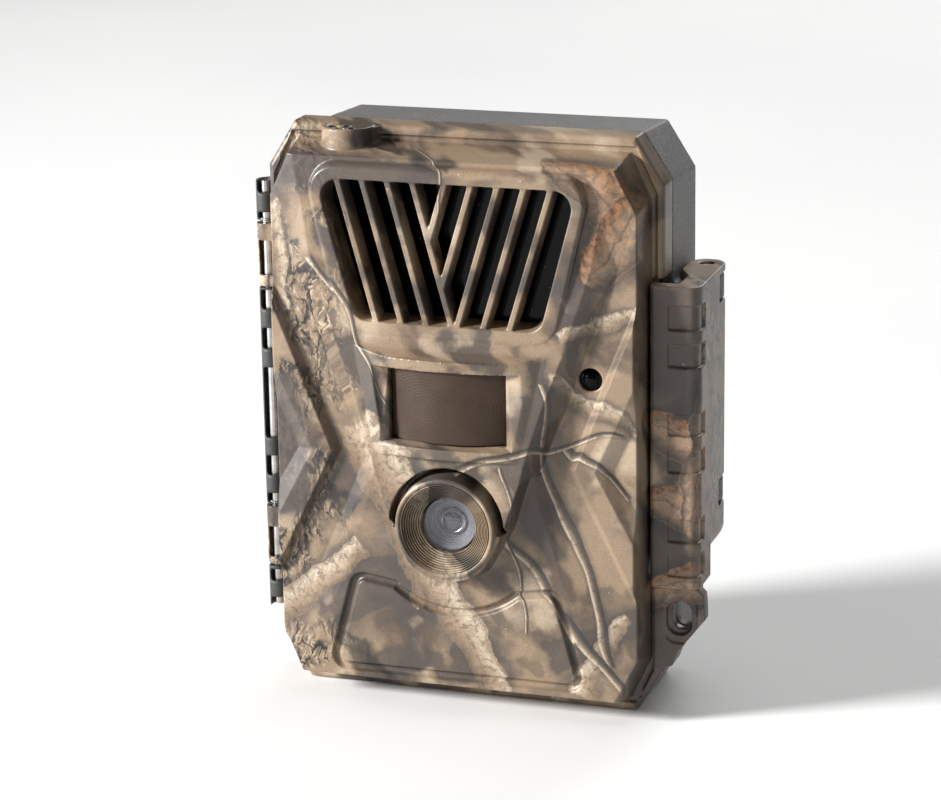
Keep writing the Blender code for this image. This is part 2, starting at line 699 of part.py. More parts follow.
def latch():
    """Side latch: a long clip whose lip wraps over the body's front edge."""
    pivot_ring = arc((LATCH_X, LATCH_Y), LATCH_RADIUS, 180, 0, 12)
    front = arc((LATCH_OUTER - 3.6, LATCH_FRONT_Y + 3.6), 3.6, 0, -90, 5)
    outline = pivot_ring + front
    outline += [(LATCH_LIP_X + 1.2, LATCH_FRONT_Y + 0.6), (LATCH_LIP_X, LATCH_FRONT_Y + 1.8),
                (LATCH_LIP_X, FLANGE_FRONT_Y - CLEAR), (50.8, FLANGE_FRONT_Y - CLEAR),
                (50.8, -4.2), (47.9, 1.2)]
    clip = extrude("latch", "Z", [outline], LATCH_BOTTOM, LATCH_TOP)
    for i, (low, high) in enumerate(LATCH_LUGS):
        cut(clip, cuboid(f"lug_room_{i}", (47.0, 58.0), (LATCH_Y - LATCH_RADIUS - 0.6, 14.0),
                         (low - KNUCKLE_GAP, high + KNUCKLE_GAP)))
    grips = ((25.4, 31.2), (16.8, 22.3), (0.8, 6.0), (-8.0, -2.6), (-24.5, -18.9), (-32.8, -27.4))
    for i, (low, high) in enumerate(grips):
        cut(clip, cuboid(f"grip_pad_{i}", (LATCH_OUTER - 5.4, LATCH_OUTER + 1),
                         (LATCH_FRONT_Y - 1, LATCH_FRONT_Y + 0.5), (low, high)))
    corner = [(60.0, -37.0), (60.0, -22.0), (52.0, -37.0)]
    cut(clip, extrude("latch_corner", "Y", [corner], -0.5, 16.0))
    cut(clip, rod("latch_bore", "Z", (LATCH_X, LATCH_Y), -24.0, 38.0,
                  LATCH_PIN_RADIUS + CLEAR, sides=12))
    finish_part(clip, CAMO, pivot=LATCH_AXIS.location.copy(), parent=LATCH_AXIS)
    pin = rod("latch_pin", "Z", (LATCH_X, LATCH_Y), -23.6, LATCH_TOP - 0.5, LATCH_PIN_RADIUS,
              sides=16)
    finish_part(pin, STEEL)


def hinge_pin():
    pin = rod("hinge_pin", "Z", (HINGE_X, PARTING_Y), HINGE_BOTTOM + 0.5, HINGE_TOP - 0.5,
              HINGE_PIN_RADIUS, sides=12)
    finish_part(pin, STEEL)


# ---------------------------------------------------------------- front cover

def block_outline(inset=0.0, draft=0.0):
    top = BLOCK_TOP - inset - draft * BLOCK_DRAFT_Z
    return octagon(BLOCK_HALF_WIDTH - inset - draft * BLOCK_DRAFT_X, top, -top, 4.8, 10.4)


def mask_outline(grow):
    """Raised V that carries the grille, the sensor and the lens, widened at its foot."""
    right = [(14.0 + grow, -33.5), (19.5 + grow, -9.6), (23.6 + grow, 0.0), (30.6 + grow, 18.7),
             (36.5 + grow, 44.0), (36.5 + grow, 56.0), (32.0 + grow, 61.0 + 0.3 * grow)]
    return right + mirrored(right)


def chevron():
    return [(42.6, 31.0), (27.5, -7.0), (42.6, -39.0), (42.6, -24.0), (35.5, -7.0), (42.6, 9.0)]


def smile_outline():
    """Lower panel with two shoulders and a dip that follows the lens boss."""
    dip = arc((0.0, LENS_Z), 19.0, -60, -120, 8)
    right = [(28.0, -60.0), (31.0, -56.5), (24.0, -38.0), (16.5, -37.0)]
    return [(-28.0, -60.0), *right, *dip, (-16.5, -37.0), (-24.0, -38.0), (-31.0, -56.5)]


def post_places():
    return [(x, z) for x in (-SCREW_X, SCREW_X) for z in (-SCREW_Z, SCREW_Z)]


def rib(name, top_x, bottom_x, top_z, bottom_z):
    """Slanted grille bar between two heights."""
    half = 0.5 * RIB_WIDTH
    outline = [(bottom_x - half, bottom_z), (bottom_x + half, bottom_z), (top_x + half, top_z),
               (top_x - half, top_z)]
    back = GRILLE_FRONT_Y + 0.4 + RIB_DEPTH
    return extrude(name, "Y", [outline], GRILLE_FRONT_Y + 0.4, back)


def grille_ribs():
    """Four bars lean right, four lean left and meet the fourth, and one closes the point."""
    top = GRILLE_TOP + 1.0
    bottom = GRILLE_BOTTOM - 1.0
    lean = 9.3
    ribs = []
    for i in range(4):
        start = -26.0 + RIB_PITCH * i
        ribs.append(rib(f"rib_left_{i}", start, start + lean, top, bottom))
    spine = (-26.0 + 3 * RIB_PITCH, lean / (top - bottom))
    for i in range(5):
        start = 0.2 + 6.2 * i
        slope = 10.6 / (top - bottom)
        meet = (start - spine[0]) / (spine[1] + slope)
        drop = min(meet, top - bottom)
        ribs.append(rib(f"rib_right_{i}", start, start - slope * drop, top, top - drop))
    return ribs


def pir_hood():
    """Frame round the motion sensor, with a curved front and flared cheeks."""
    chord = 30.0
    radius = 78.0
    sweep = math.degrees(math.asin(chord / radius))
    plan = arc((0.0, PIR_FRONT_Y + radius), radius, -90 - sweep, -90 + sweep, 16)
    plan += [(chord, -20.6), (-chord, -20.6)]
    hood = extrude("pir_hood", "Z", [plan], -9.0, 23.0)
    front = [(22.6, 18.0), (-22.6, 18.0), (-17.2, -5.2), (17.2, -5.2)]
    back = [(26.4, 22.6), (-26.4, 22.6), (-18.8, -7.6), (18.8, -7.6)]
    keep(hood, loft("pir_hood_sides", [(-30.0, front), (PIR_FRONT_Y + 1.6, front), (-20.0, back)]))
    return hood


def pir_recess():
    front = [(21.6, PIR_TOP), (-21.6, PIR_TOP), (-16.4, -2.7), (16.4, -2.7)]
    back = [(PIR_HALF, PIR_TOP), (-PIR_HALF, PIR_TOP), (-PIR_HALF, PIR_BOTTOM),
            (PIR_HALF, PIR_BOTTOM)]
    return loft("pir_recess", [(-30.0, front), (PIR_FRONT_Y + 1.4, front), (-23.0, back),
                               (-16.0, back)])


def front_cover():
    flange = body_outline(0.0)
    cover = loft("front_cover", [(PARTING_Y, flange), (FLANGE_FRONT_Y + 0.7, flange),
                                 (FLANGE_FRONT_Y, body_outline(0.7))])
    foot = block_outline()
    face = block_outline(draft=0.9)
    join(cover, loft("cover_block", [(FLANGE_FRONT_Y + 1.0, foot), (BLOCK_FRONT_Y + 0.9, face),
                                     (BLOCK_FRONT_Y, block_outline(0.9, 1.0))]))
    join(cover, loft("cover_mask", [(BLOCK_FRONT_Y + 0.7, mask_outline(3.2)),
                                    (MASK_FRONT_Y, mask_outline(0.0))]))
    join(cover, loft("grille_frame", [(BLOCK_FRONT_Y + 0.6, trapezoid(GRILLE_LIP + 0.7)),
                                      (GRILLE_FRONT_Y + 0.5, trapezoid(GRILLE_LIP + 0.1)),
                                      (GRILLE_FRONT_Y, trapezoid(GRILLE_LIP - 0.5))]))
    join(cover, pir_hood())
    cut(cover, rod("lens_moat", "Y", (0.0, LENS_Z), -26.5, BLOCK_FRONT_Y - 0.05, 14.6,
                   sides=LARGE_ROUND))
    join(cover, rod("lens_boss", "Y", (0.0, LENS_Z), BOSS_FRONT_Y, BLOCK_FRONT_Y + 0.5,
                    BOSS_RADIUS, BOSS_RADIUS + 0.7, sides=LARGE_ROUND))
    for side, points in ((1, chevron()), (-1, mirrored(chevron()))):
        join(cover, extrude(f"chevron_{side}", "Y", [points], BLOCK_FRONT_Y - 0.9,
                            BLOCK_FRONT_Y + 0.4))
    join(cover, extrude("lower_panel", "Y", [smile_outline()], BLOCK_FRONT_Y - 0.8,
                        BLOCK_FRONT_Y + 0.3))
    boss_top = HALF_HEIGHT - 0.1
    join(cover, rod("microphone_boss", "Z", SOUND_BOSS, 58.0, boss_top, SOUND_BOSS_RADIUS + 0.3,
                    SOUND_BOSS_RADIUS))
    cheek = [(-23.4, -18.1), (-19.6, -12.0), (-19.0, -9.6), (-26.8, -8.4)]
    join(cover, extrude("microphone_cheek", "Z", [cheek], 59.0, boss_top - 0.2))
    for i, (low, high) in enumerate(COVER_KNUCKLES):
        join(cover, knuckle(f"cover_knuckle_{i}", low, high))
        join(cover, cuboid(f"cover_hinge_arm_{i}", (HINGE_X, 1.0 - HALF_WIDTH),
                           (-7.0, PARTING_Y), (low, high)))
    for i, (low, high) in enumerate(COVER_WINDOWS):
        cut(cover, hinge_window(f"cover_hinge_window_{i}", low, high))
    cut(cover, hinge_bore("cover_hinge_bore"))
    join(cover, eye_plate("cover_eye", 45.0, 57.2, -12.6, EYE_REAR_Y - CLEAR))
    inner = block_outline(COVER_WALL + 0.9, 0.0)
    cut(cover, loft("cover_hollow", [(0.0, inner), (BLOCK_FRONT_Y + COVER_WALL, inner)]))
    for x, z in post_places():
        join(cover, rod(f"panel_post_{x:.0f}_{z:.0f}", "Y", (x, z), -18.9,
                        PANEL_FRONT_Y - CLEAR, POST_RADIUS, sides=16))
        cut(cover, rod(f"panel_post_bore_{x:.0f}_{z:.0f}", "Y", (x, z), -15.5, -6.0, 1.5,
                       sides=12))
    cut(cover, loft("grille_opening", [(-26.0, trapezoid(0.4)), (GRILLE_FRONT_Y, trapezoid(0.0)),
                                       (-17.5, trapezoid(-1.0))]))
    for bar in grille_ribs():
        join(cover, bar)
    cut(cover, pir_recess())
    recess = [(WINDOW_RADIUS + 0.4, -16.0), (WINDOW_RADIUS + 0.4, -26.2), (RECESS_RADIUS, -28.9),
              (RECESS_RADIUS + 0.5, -30.0), (0.0, -30.0)]
    cut(cover, turned("lens_recess", "Y", (0.0, LENS_Z), [(0.0, -16.0), *recess]))
    cut(cover, rod("sensor_hole", "Y", (32.6, 14.1), -26.0, -16.0, 2.6))
    cut(cover, rod("microphone_bore", "Z", MICROPHONE, 50.0, 66.2, 3.3))
    cut(cover, rod("sound_hole", "Z", (-26.2, -16.3), 65.0, 69.0, 0.7, sides=12))
    cut(cover, cuboid("latch_notch", (BLOCK_HALF_WIDTH + 0.05, 50.0), (-14.0, -4.0),
                      (LATCH_BOTTOM - 0.6, LATCH_TOP + 0.6)))
    return finish_part(cover, CAMO, pivot=HINGE_AXIS.location.copy(), parent=HINGE_AXIS)


# ---------------------------------------------------------------- optics and boards

def windows():
    window = extrude("ir_window", "Y", [trapezoid(1.6)], -18.1, -16.6)
    finish_part(window, WINDOW, parent=HINGE_AXIS)
    sweep = math.degrees(math.asin((PIR_HALF - CLEAR) / PIR_LENS_RADIUS))
    centre = (0.0, -25.7 + PIR_LENS_RADIUS)
    front = arc(centre, PIR_LENS_RADIUS, -90 - sweep, -90 + sweep, 12)
    back = arc(centre, PIR_LENS_RADIUS - 1.0, -90 + sweep, -90 - sweep, 12)
    lens = extrude("pir_lens", "Z", [front + back], PIR_BOTTOM + CLEAR, PIR_TOP - CLEAR)
    finish_part(lens, FRESNEL, parent=HINGE_AXIS)
    clip = extrude("pir_retainer", "Y",
                   [rounded([(17.0, 18.0), (-17.0, 18.0), (-17.0, -5.0), (17.0, -5.0)], 2.0),
                    rounded([(11.5, 12.5), (-11.5, 12.5), (-11.5, 0.5), (11.5, 0.5)], 1.0)],
                   -18.1, -16.9)
    finish_part(clip, BLACK, parent=HINGE_AXIS)
    disc = rod("lens_window", "Y", (0.0, LENS_Z), -25.9, -24.7, WINDOW_RADIUS, sides=LARGE_ROUND)
    finish_part(disc, GLASS, parent=HINGE_AXIS)
    dome = [(0.0, -15.6), (2.3, -15.6), (2.3, -20.4), (1.6, -21.0), (0.0, -21.2)]
    finish_part(turned("sensor_dome", "Y", (32.6, 14.1), dome, SMALL_ROUND), WINDOW,
                parent=HINGE_AXIS)


def led_board():
    """Board with three rows of infrared emitters behind the dark window."""
    board = cuboid("ir_led_board", (-25.0, 25.0), (-12.6, -11.4), (26.0, 57.0))
    for row, z in enumerate((32.0, 41.5, 51.0)):
        for k in range(7):
            x = (k - 3) * (5.6 + 0.7 * row)
            join(board, rod(f"emitter_{row}_{k}", "Y", (x, z), -16.2, -12.0, 1.9, 2.1, sides=6))
    finish_part(board, BOARD, parent=HINGE_AXIS)


def camera_module():
    barrel = [(0.0, -13.6), (BARREL_RADIUS, -13.6), (BARREL_RADIUS, -23.4), (4.4, -24.0),
              (3.3, -22.6), (3.3, -20.6), (0.0, -20.6)]
    finish_part(turned("lens_barrel", "Y", (0.0, LENS_Z), barrel, 24), BLACK, parent=HINGE_AXIS)
    dome = [(0.0, -20.9), (3.0, -20.9), (3.0, -22.0), (2.2, -22.8), (1.2, -23.2), (0.0, -23.3)]
    finish_part(turned("lens_element", "Y", (0.0, LENS_Z), dome, 24), GLASS, parent=HINGE_AXIS)
    z = LENS_Z
    holder = cuboid("lens_holder", (-8.0, 8.0), (-17.0, -11.9), (z - 8.0, z + 8.0))
    cut(holder, rod("barrel_bore", "Y", (0.0, z), -18.0, -13.0, BARREL_RADIUS + CLEAR, sides=24))
    cut(holder, cuboid("filter_way", (-9.0, 9.0), (-13.3, -11.0), (z - 4.8, z + 4.8)))
    finish_part(holder, BLACK, parent=HINGE_AXIS)
    slide = cuboid("ir_cut_filter", (-3.8, 9.8), (-12.95, -12.15), (z - 4.4, z + 4.4))
    finish_part(slide, GLASS, pivot=at(0.0, -12.55, z), parent=HINGE_AXIS)
    sensor = cuboid("sensor_board", (-11.0, 11.0), (-11.6, -10.6), (z - 10.0, z + 10.0))
    finish_part(sensor, BOARD, parent=HINGE_AXIS)


def boards():
    outline = octagon(38.5, 57.5, -57.5, 9.0, 9.0)
    board = extrude("main_board", "Y", [outline], -10.1, -8.7)
    for x, z in post_places():
        cut(board, rod(f"post_notch_{x:.0f}_{z:.0f}", "Y", (x, z), -11.0, -8.0, POST_RADIUS + 0.4,
                       sides=12))
    finish_part(board, BOARD, parent=HINGE_AXIS)
    can = [(0.0, -10.4), (4.6, -10.4), (4.6, -10.9), (4.1, -10.9), (4.1, -14.2), (3.6, -14.6),
           (0.0, -14.6)]
    finish_part(turned("pir_sensor", "Y", (0.0, 6.7), can, SMALL_ROUND), STEEL, parent=HINGE_AXIS)
    finish_part(rod("microphone", "Z", MICROPHONE, 60.0, 65.0, 3.0), STEEL, parent=HINGE_AXIS)


# ---------------------------------------------------------------- control panel

def key_places():
    return (("key_up", 0.0, PAD_Z + PAD_PITCH), ("key_down", 0.0, PAD_Z - PAD_PITCH),
            ("key_left", -PAD_PITCH, PAD_Z), ("key_right", PAD_PITCH, PAD_Z),
            ("key_ok", 0.0, PAD_Z))


def inner_panel():
    outline = octagon(PANEL_HALF_WIDTH, PANEL_HALF_HEIGHT, -PANEL_HALF_HEIGHT, 4.0, 8.6)
    screen = [(SCREEN_HALF, SCREEN_TOP), (-SCREEN_HALF, SCREEN_TOP), (-SCREEN_HALF, SCREEN_BOTTOM),
              (SCREEN_HALF, SCREEN_BOTTOM)]
    left, right, low, high = BAY
    bay = [(right, high), (left, high), (left, low), (right, low)]
    panel = extrude("inner_panel", "Y", [outline, screen, bay], PANEL_FRONT_Y, PANEL_BACK_Y)
    for name, x, z in key_places():
        cut(panel, rod(f"{name}_hole", "Y", (x, z), PANEL_FRONT_Y - 1, PANEL_BACK_Y + 1,
                       KEY_RADIUS + CLEAR))
    cut(panel, cuboid("switch_slot", (SWITCH_X - 1.9, SWITCH_X + 1.9),
                      (PANEL_FRONT_Y - 1, PANEL_BACK_Y + 1),
                      (PAD_Z - 5.0, PAD_Z + 5.0)))
    cut(panel, cuboid("usb_slot", (31.0, 36.4), (PANEL_FRONT_Y - 1, PANEL_BACK_Y + 1),
                      (-44.0, -34.6)))
    for x, z in post_places():
        cut(panel, rod(f"panel_hole_{x:.0f}_{z:.0f}", "Y", (x, z), PANEL_FRONT_Y - 1,
                       PANEL_BACK_Y + 1, 1.5, sides=12))
    finish_part(panel, BLACK, parent=HINGE_AXIS)
    for i, place in enumerate(post_places()):
        screw(f"panel_screw_{i + 1}", place, PANEL_BACK_Y + 0.1, -13.5, parent=HINGE_AXIS)


def controls():
    glass = cuboid("lcd_screen", (CLEAR - SCREEN_HALF, SCREEN_HALF - CLEAR), (-7.2, -5.4),
                   (SCREEN_BOTTOM + CLEAR, SCREEN_TOP - CLEAR))
    finish_part(glass, SCREEN, parent=HINGE_AXIS)
    for name, x, z in key_places():
        profile = [(0.0, KEY_BACK_Y), (KEY_RADIUS - 0.5, KEY_BACK_Y), (KEY_RADIUS, -4.4),
                   (KEY_RADIUS, -6.95), (KEY_RADIUS + 0.8, -6.95), (KEY_RADIUS + 0.8, -7.4),
                   (0.0, -7.4)]
        key = turned(name, "Y", (x, z), profile, SMALL_ROUND)
        finish_part(key, KEY, pivot=at(x, KEY_BACK_Y, z), parent=HINGE_AXIS)
    low = PAD_Z - 4.6
    knob = cuboid("mode_switch", (SWITCH_X - 1.6, SWITCH_X + 1.6), (-7.2, -3.8), (low, low + 3.2))
    join(knob, cuboid("switch_foot", (SWITCH_X - 3.4, SWITCH_X + 3.4), (-7.5, -6.95),
                      (low - 1.4, low + 4.6)))
    finish_part(knob, KEY, pivot=at(SWITCH_X, -6.0, low + 1.6), parent=HINGE_AXIS)


def card_and_ports():
    """Memory card in its socket, and the data port."""
    low = -57.6
    left = BAY[0] + 0.4
    socket = cuboid("card_socket", (left, left + 26.0), (-8.4, -5.2), (low, low + 24.2))
    cut(socket, cuboid("card_room", (left + 0.6, left + 27.0), (-8.0, -5.6),
                       (low + 0.6, low + 23.6)))
    finish_part(socket, STEEL, parent=HINGE_AXIS)
    near = left + 1.0
    far = near + CARD_LENGTH
    outline = [(near, low + 1.0), (far, low + 1.0), (far, low + 23.2), (near + 3.0, low + 23.2),
               (near, low + 20.2)]
    card = extrude("memory_card", "Y", [outline], -7.7, -5.9)
    finish_part(card, BLACK, pivot=at(0.5 * (near + far), -6.8, low + 12.1), parent=HINGE_AXIS)
    port = cuboid("usb_port", (31.4, 36.0), (-8.4, -4.6), (-43.6, -35.0))
    cut(port, cuboid("usb_mouth", (32.0, 35.4), (-8.0, -4.0), (-43.0, -35.6)))
    join(port, cuboid("usb_tongue", (33.3, 34.1), (-8.2, -5.2), (-41.8, -36.8)))
    finish_part(port, STEEL, parent=HINGE_AXIS)


rear_housing()
housing_seal()
strap_bracket()
tripod_insert()
power_socket()
cells_and_contacts()
power_pins()
hinge_pin()
latch()
front_cover()
windows()
led_board()
camera_module()
boards()
inner_panel()
controls()
card_and_ports()
bpy.context.view_layer.update()
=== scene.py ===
"""Looks of the trail camera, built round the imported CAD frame.

Lengths are in millimetres from the middle of the body's outline, with +X to the viewer's
right, -Y to the front and +Z up. at() turns them into world metres, where the body stands
on z = 0. The camouflaged cover, the latch, the optics and the cells are rebuilt here with
fine detail; the other CAD nodes keep their shape and get rounded edges and a material.
"""

import json
import math

import bmesh
import bpy
from mathutils import Matrix, Vector

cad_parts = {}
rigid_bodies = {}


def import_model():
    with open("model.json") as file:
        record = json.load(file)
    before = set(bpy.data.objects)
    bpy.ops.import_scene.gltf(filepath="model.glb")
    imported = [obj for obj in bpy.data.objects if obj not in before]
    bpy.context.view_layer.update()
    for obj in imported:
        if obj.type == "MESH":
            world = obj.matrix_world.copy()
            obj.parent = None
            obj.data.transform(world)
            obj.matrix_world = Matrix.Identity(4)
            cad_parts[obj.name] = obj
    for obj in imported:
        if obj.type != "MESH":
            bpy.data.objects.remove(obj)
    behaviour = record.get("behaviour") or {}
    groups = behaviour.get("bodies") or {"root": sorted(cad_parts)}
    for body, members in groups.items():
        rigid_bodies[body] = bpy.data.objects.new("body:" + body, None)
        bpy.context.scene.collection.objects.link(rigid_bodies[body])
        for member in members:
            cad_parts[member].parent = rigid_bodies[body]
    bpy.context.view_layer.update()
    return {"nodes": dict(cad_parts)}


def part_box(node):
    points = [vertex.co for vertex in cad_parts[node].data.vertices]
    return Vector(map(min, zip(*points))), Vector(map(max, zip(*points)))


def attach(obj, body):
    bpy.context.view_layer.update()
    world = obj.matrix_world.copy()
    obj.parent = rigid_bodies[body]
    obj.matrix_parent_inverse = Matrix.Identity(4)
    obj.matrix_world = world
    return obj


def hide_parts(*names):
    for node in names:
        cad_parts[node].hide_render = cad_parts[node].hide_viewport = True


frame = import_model()
NODES = frame["nodes"]
for plain in list(bpy.data.materials):
    bpy.data.materials.remove(plain)

MM = 0.001
HALF_HEIGHT = 500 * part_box("front_cover")[1].z
PIECES = bpy.data.collections.new("looks")
CUTTERS = bpy.data.collections.new("cutters")
for group in (PIECES, CUTTERS):
    bpy.context.scene.collection.children.link(group)

# Depths of the main planes, from the parting plane forwards.
PARTING_Y = -4.7
FLANGE_FRONT_Y = -12.0
BLOCK_FRONT_Y = -20.9
MASK_FRONT_Y = -27.0
GRILLE_FRONT_Y = -24.9
PIR_FRONT_Y = -29.0
BOSS_FRONT_Y = -29.3
PLATEAU_FRONT_Y = BLOCK_FRONT_Y - 1.2
INSIDE_Y = -15.0

HALF_WIDTH = 47.2
CORNER_X = 6.6
CORNER_Z = 10.6
BLOCK_HALF_WIDTH = 44.3
BLOCK_TOP = 64.6

GRILLE_TOP = 57.9
GRILLE_BOTTOM = 25.1
GRILLE_TOP_HALF = 30.8
GRILLE_BOTTOM_HALF = 22.0
RIB_WIDTH = 1.55

PIR_HALF = 14.0
PIR_TOP = 15.5
PIR_BOTTOM = -2.1
LENS = (0.0, -21.5)

HINGE_X = -50.9
HINGE_RADIUS = 2.4
HINGE_PIN_RADIUS = 1.1
COVER_KNUCKLES = ((27.0, 42.0), (-42.0, -27.5))
COVER_WINDOWS = ((29.5, 38.0), (-40.3, -32.6))

LATCH_PIVOT = (52.0, 8.0)
LATCH_RADIUS = 4.2
LATCH_TOP = 35.5
LATCH_BOTTOM = -35.6
LATCH_OUTER = 56.4
LATCH_FRONT_Y = -15.6
LATCH_LIP_X = 44.7
LATCH_LUGS = ((27.6, 33.4), (-21.0, -15.2))
LATCH_GRIPS = ((25.4, 31.2), (16.8, 22.3), (0.8, 6.0), (-8.0, -2.6), (-24.5, -18.9),
               (-32.8, -27.4))

SENSOR = (32.6, 14.1)
EYE = (51.6, -43.2)
MICROPHONE = (-26.2, -16.3)
SOUND_BOSS = (-26.8, -13.4)


def at(x, y, z):
    """World position of a point given in millimetres from the body's middle."""
    return Vector((x, y, z + HALF_HEIGHT)) * MM


# ---------------------------------------------------------------- shapes

def new_object(name, mesh, smooth=False):
    """Put a mesh in the cutters collection until finish_piece() claims it."""
    made = bpy.data.objects.new(name, mesh)
    CUTTERS.objects.link(made)
    made.hide_render = True
    made.display_type = "WIRE"
    if smooth:
        mesh.shade_smooth()
        mesh.set_sharp_from_angle(angle=math.radians(35))
    return made


def mesh_from(bm, name):
    """Turn a working mesh into a finished one, with its faces outwards."""
    bmesh.ops.recalc_face_normals(bm, faces=bm.faces)
    mesh = bpy.data.meshes.new(name)
    bm.to_mesh(mesh)
    bm.free()
    return mesh


def evaluated_mesh(holder):
    """Final mesh of an object with its modifiers; the object is then removed."""
    bpy.context.view_layer.update()
    graph = bpy.context.evaluated_depsgraph_get()
    mesh = bpy.data.meshes.new_from_object(holder.evaluated_get(graph))
    bpy.data.objects.remove(holder, do_unlink=True)
    return mesh


def cuboid(name, x, y, z):
    """Box from (low, high) pairs along each axis."""
    bm = bmesh.new()
    size = [high - low for low, high in (x, y, z)]
    centre = at(*(0.5 * (low + high) for low, high in (x, y, z)))
    place = Matrix.Translation(centre) @ Matrix.Diagonal((*(s * MM for s in size), 1.0))
    bmesh.ops.create_cube(bm, size=1.0, matrix=place)
    return new_object(name, mesh_from(bm, name))


def on_axis(axis, centre, along):
    """Turn +Z to +Y or leave it, and move to a centre given by the other two coordinates."""
    if axis == "Y":
        return (Matrix.Translation(at(centre[0], along, centre[1]))
                @ Matrix.Rotation(-math.pi / 2, 4, "X"))
    return Matrix.Translation(at(*centre, along))


def placed(mesh, place):
    """Working mesh moved into place, with its doubled points merged."""
    bm = bmesh.new()
    bm.from_mesh(mesh)
    bmesh.ops.transform(bm, matrix=place, verts=bm.verts)
    bmesh.ops.remove_doubles(bm, verts=bm.verts, dist=1e-6)
    return bm


def rod(name, axis, centre, low, high, radius, top_radius=None, sides=64):
    """Cylinder or cone along Y or Z; centre holds the other two coordinates in order."""
    if top_radius is None:
        top_radius = radius
    place = on_axis(axis, centre, 0.5 * (low + high))
    bm = bmesh.new()
    bmesh.ops.create_cone(bm, cap_ends=True, segments=sides, radius1=radius * MM,
                          radius2=top_radius * MM, depth=(high - low) * MM, matrix=place)
    return new_object(name, mesh_from(bm, name), smooth=True)


def extrude(name, axis, loops, low, high):
    """Flat outline, with any inner loops as holes, made thick from low to high along axis.

    The outline's points are (x, z) for axis Y and (x, y) for axis Z.
    """
    shift = 0.0 if axis == "Z" else HALF_HEIGHT
    curve = bpy.data.curves.new(name, "CURVE")
    curve.dimensions = "2D"
    curve.fill_mode = "BOTH"
    curve.extrude = 0.5 * (high - low) * MM
    for loop in loops:
        spline = curve.splines.new("POLY")
        spline.points.add(len(loop) - 1)
        for point, (u, v) in zip(spline.points, loop):
            point.co = (u * MM, (v + shift) * MM, 0.0, 1.0)
        spline.use_cyclic_u = True
    holder = bpy.data.objects.new(name, curve)
    CUTTERS.objects.link(holder)
    middle = 0.5 * (low + high) * MM
    if axis == "Y":
        place = Matrix(((1, 0, 0, 0), (0, 0, -1, middle), (0, 1, 0, 0), (0, 0, 0, 1)))
    else:
        place = Matrix.Translation((0, 0, middle + HALF_HEIGHT * MM))
    bm = placed(evaluated_mesh(holder), place)
    bmesh.ops.dissolve_limit(bm, angle_limit=0.01, verts=bm.verts, edges=bm.edges)
    return new_object(name, mesh_from(bm, name))


def loft(name, sections):
    """Solid through outlines at successive depths y, all with the same point count.

    A point is (x, z), or (x, z, shift) where it lies off its section's depth.
    """
    bm = bmesh.new()
    first_y, first = sections[0]
    start = [bm.verts.new(at(x, first_y, z)) for x, z in first]
    face = bm.faces.new(start)
    for y, outline in sections[1:]:
        face = bmesh.ops.extrude_discrete_faces(bm, faces=[face])["faces"][0]
        for vert, (x, z, *shift) in zip(face.verts, outline):
            vert.co = at(x, y + sum(shift), z)
    bm.faces.new(list(reversed(start)))
    return new_object(name, mesh_from(bm, name))


def turned(name, axis, centre, profile, sides=96, closed=False):
    """Solid of revolution from (radius, height) points that run down the outer side."""
    mesh = bpy.data.meshes.new(name)
    count = len(profile)
    edges = [(i, i + 1) for i in range(count - 1)]
    if closed:
        edges.append((count - 1, 0))
    mesh.from_pydata([(r * MM, 0.0, h * MM) for r, h in profile], edges, [])
    holder = bpy.data.objects.new(name, mesh)
    CUTTERS.objects.link(holder)
    screw = holder.modifiers.new("Screw", "SCREW")
    screw.steps = sides
    screw.render_steps = sides
    screw.use_merge_vertices = True
    screw.merge_threshold = 1e-6
    bm = placed(evaluated_mesh(holder), on_axis(axis, centre, 0.0))
    bmesh.ops.dissolve_degenerate(bm, edges=bm.edges, dist=1e-7)
    return new_object(name, mesh_from(bm, name), smooth=True)


def cut(target, *tools, operation="DIFFERENCE"):
    """Take the tools away from a shape, by live Boolean modifiers."""
    for tool in tools:
        modifier = target.modifiers.new(tool.name, "BOOLEAN")
        modifier.operation = operation
        modifier.solver = "EXACT"
        modifier.object = tool
    return target


def keep(target, tool):
    """Leave only what lies inside the tool."""
    return cut(target, tool, operation="INTERSECT")


def melt(name, parts):
    """Overlapping closed shapes gathered in one mesh, to be united by soften()."""
    bm = bmesh.new()
    for part in parts:
        bm.from_mesh(evaluated_mesh(part))
    return new_object(name, mesh_from(bm, name))


def soften(obj, voxel, passes, share):
    """Rebuild a shape with a fine even mesh and rounded edges, then thin the mesh out."""
    remesh = obj.modifiers.new("Remesh", "REMESH")
    remesh.mode = "VOXEL"
    remesh.voxel_size = voxel * MM
    remesh.use_smooth_shade = True
    smooth = obj.modifiers.new("Smooth", "SMOOTH")
    smooth.factor = 0.5
    smooth.iterations = passes
    thin = obj.modifiers.new("Decimate", "DECIMATE")
    thin.ratio = share
    return obj


def finish_piece(obj, body, slot, look, *nodes):
    """Claim a shape as a shown piece: it rides on a body and stands for the CAD nodes."""
    name = obj.name
    obj.name = name + "_source"
    made = bpy.data.objects.new(name, evaluated_mesh(obj))
    PIECES.objects.link(made)
    made.data.materials.clear()
    made.data.materials.append(look)
    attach(made, body)
    if nodes:
        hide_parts(*nodes)
    return made


# ---------------------------------------------------------------- outlines

def octagon(half_width, top, bottom, corner_x, corner_z):
    """Chamfered rectangle."""
    right = [(half_width, bottom + corner_z), (half_width, top - corner_z),
             (half_width - corner_x, top)]
    return [(half_width - corner_x, bottom), *right, *mirrored(right),
            (corner_x - half_width, bottom)]


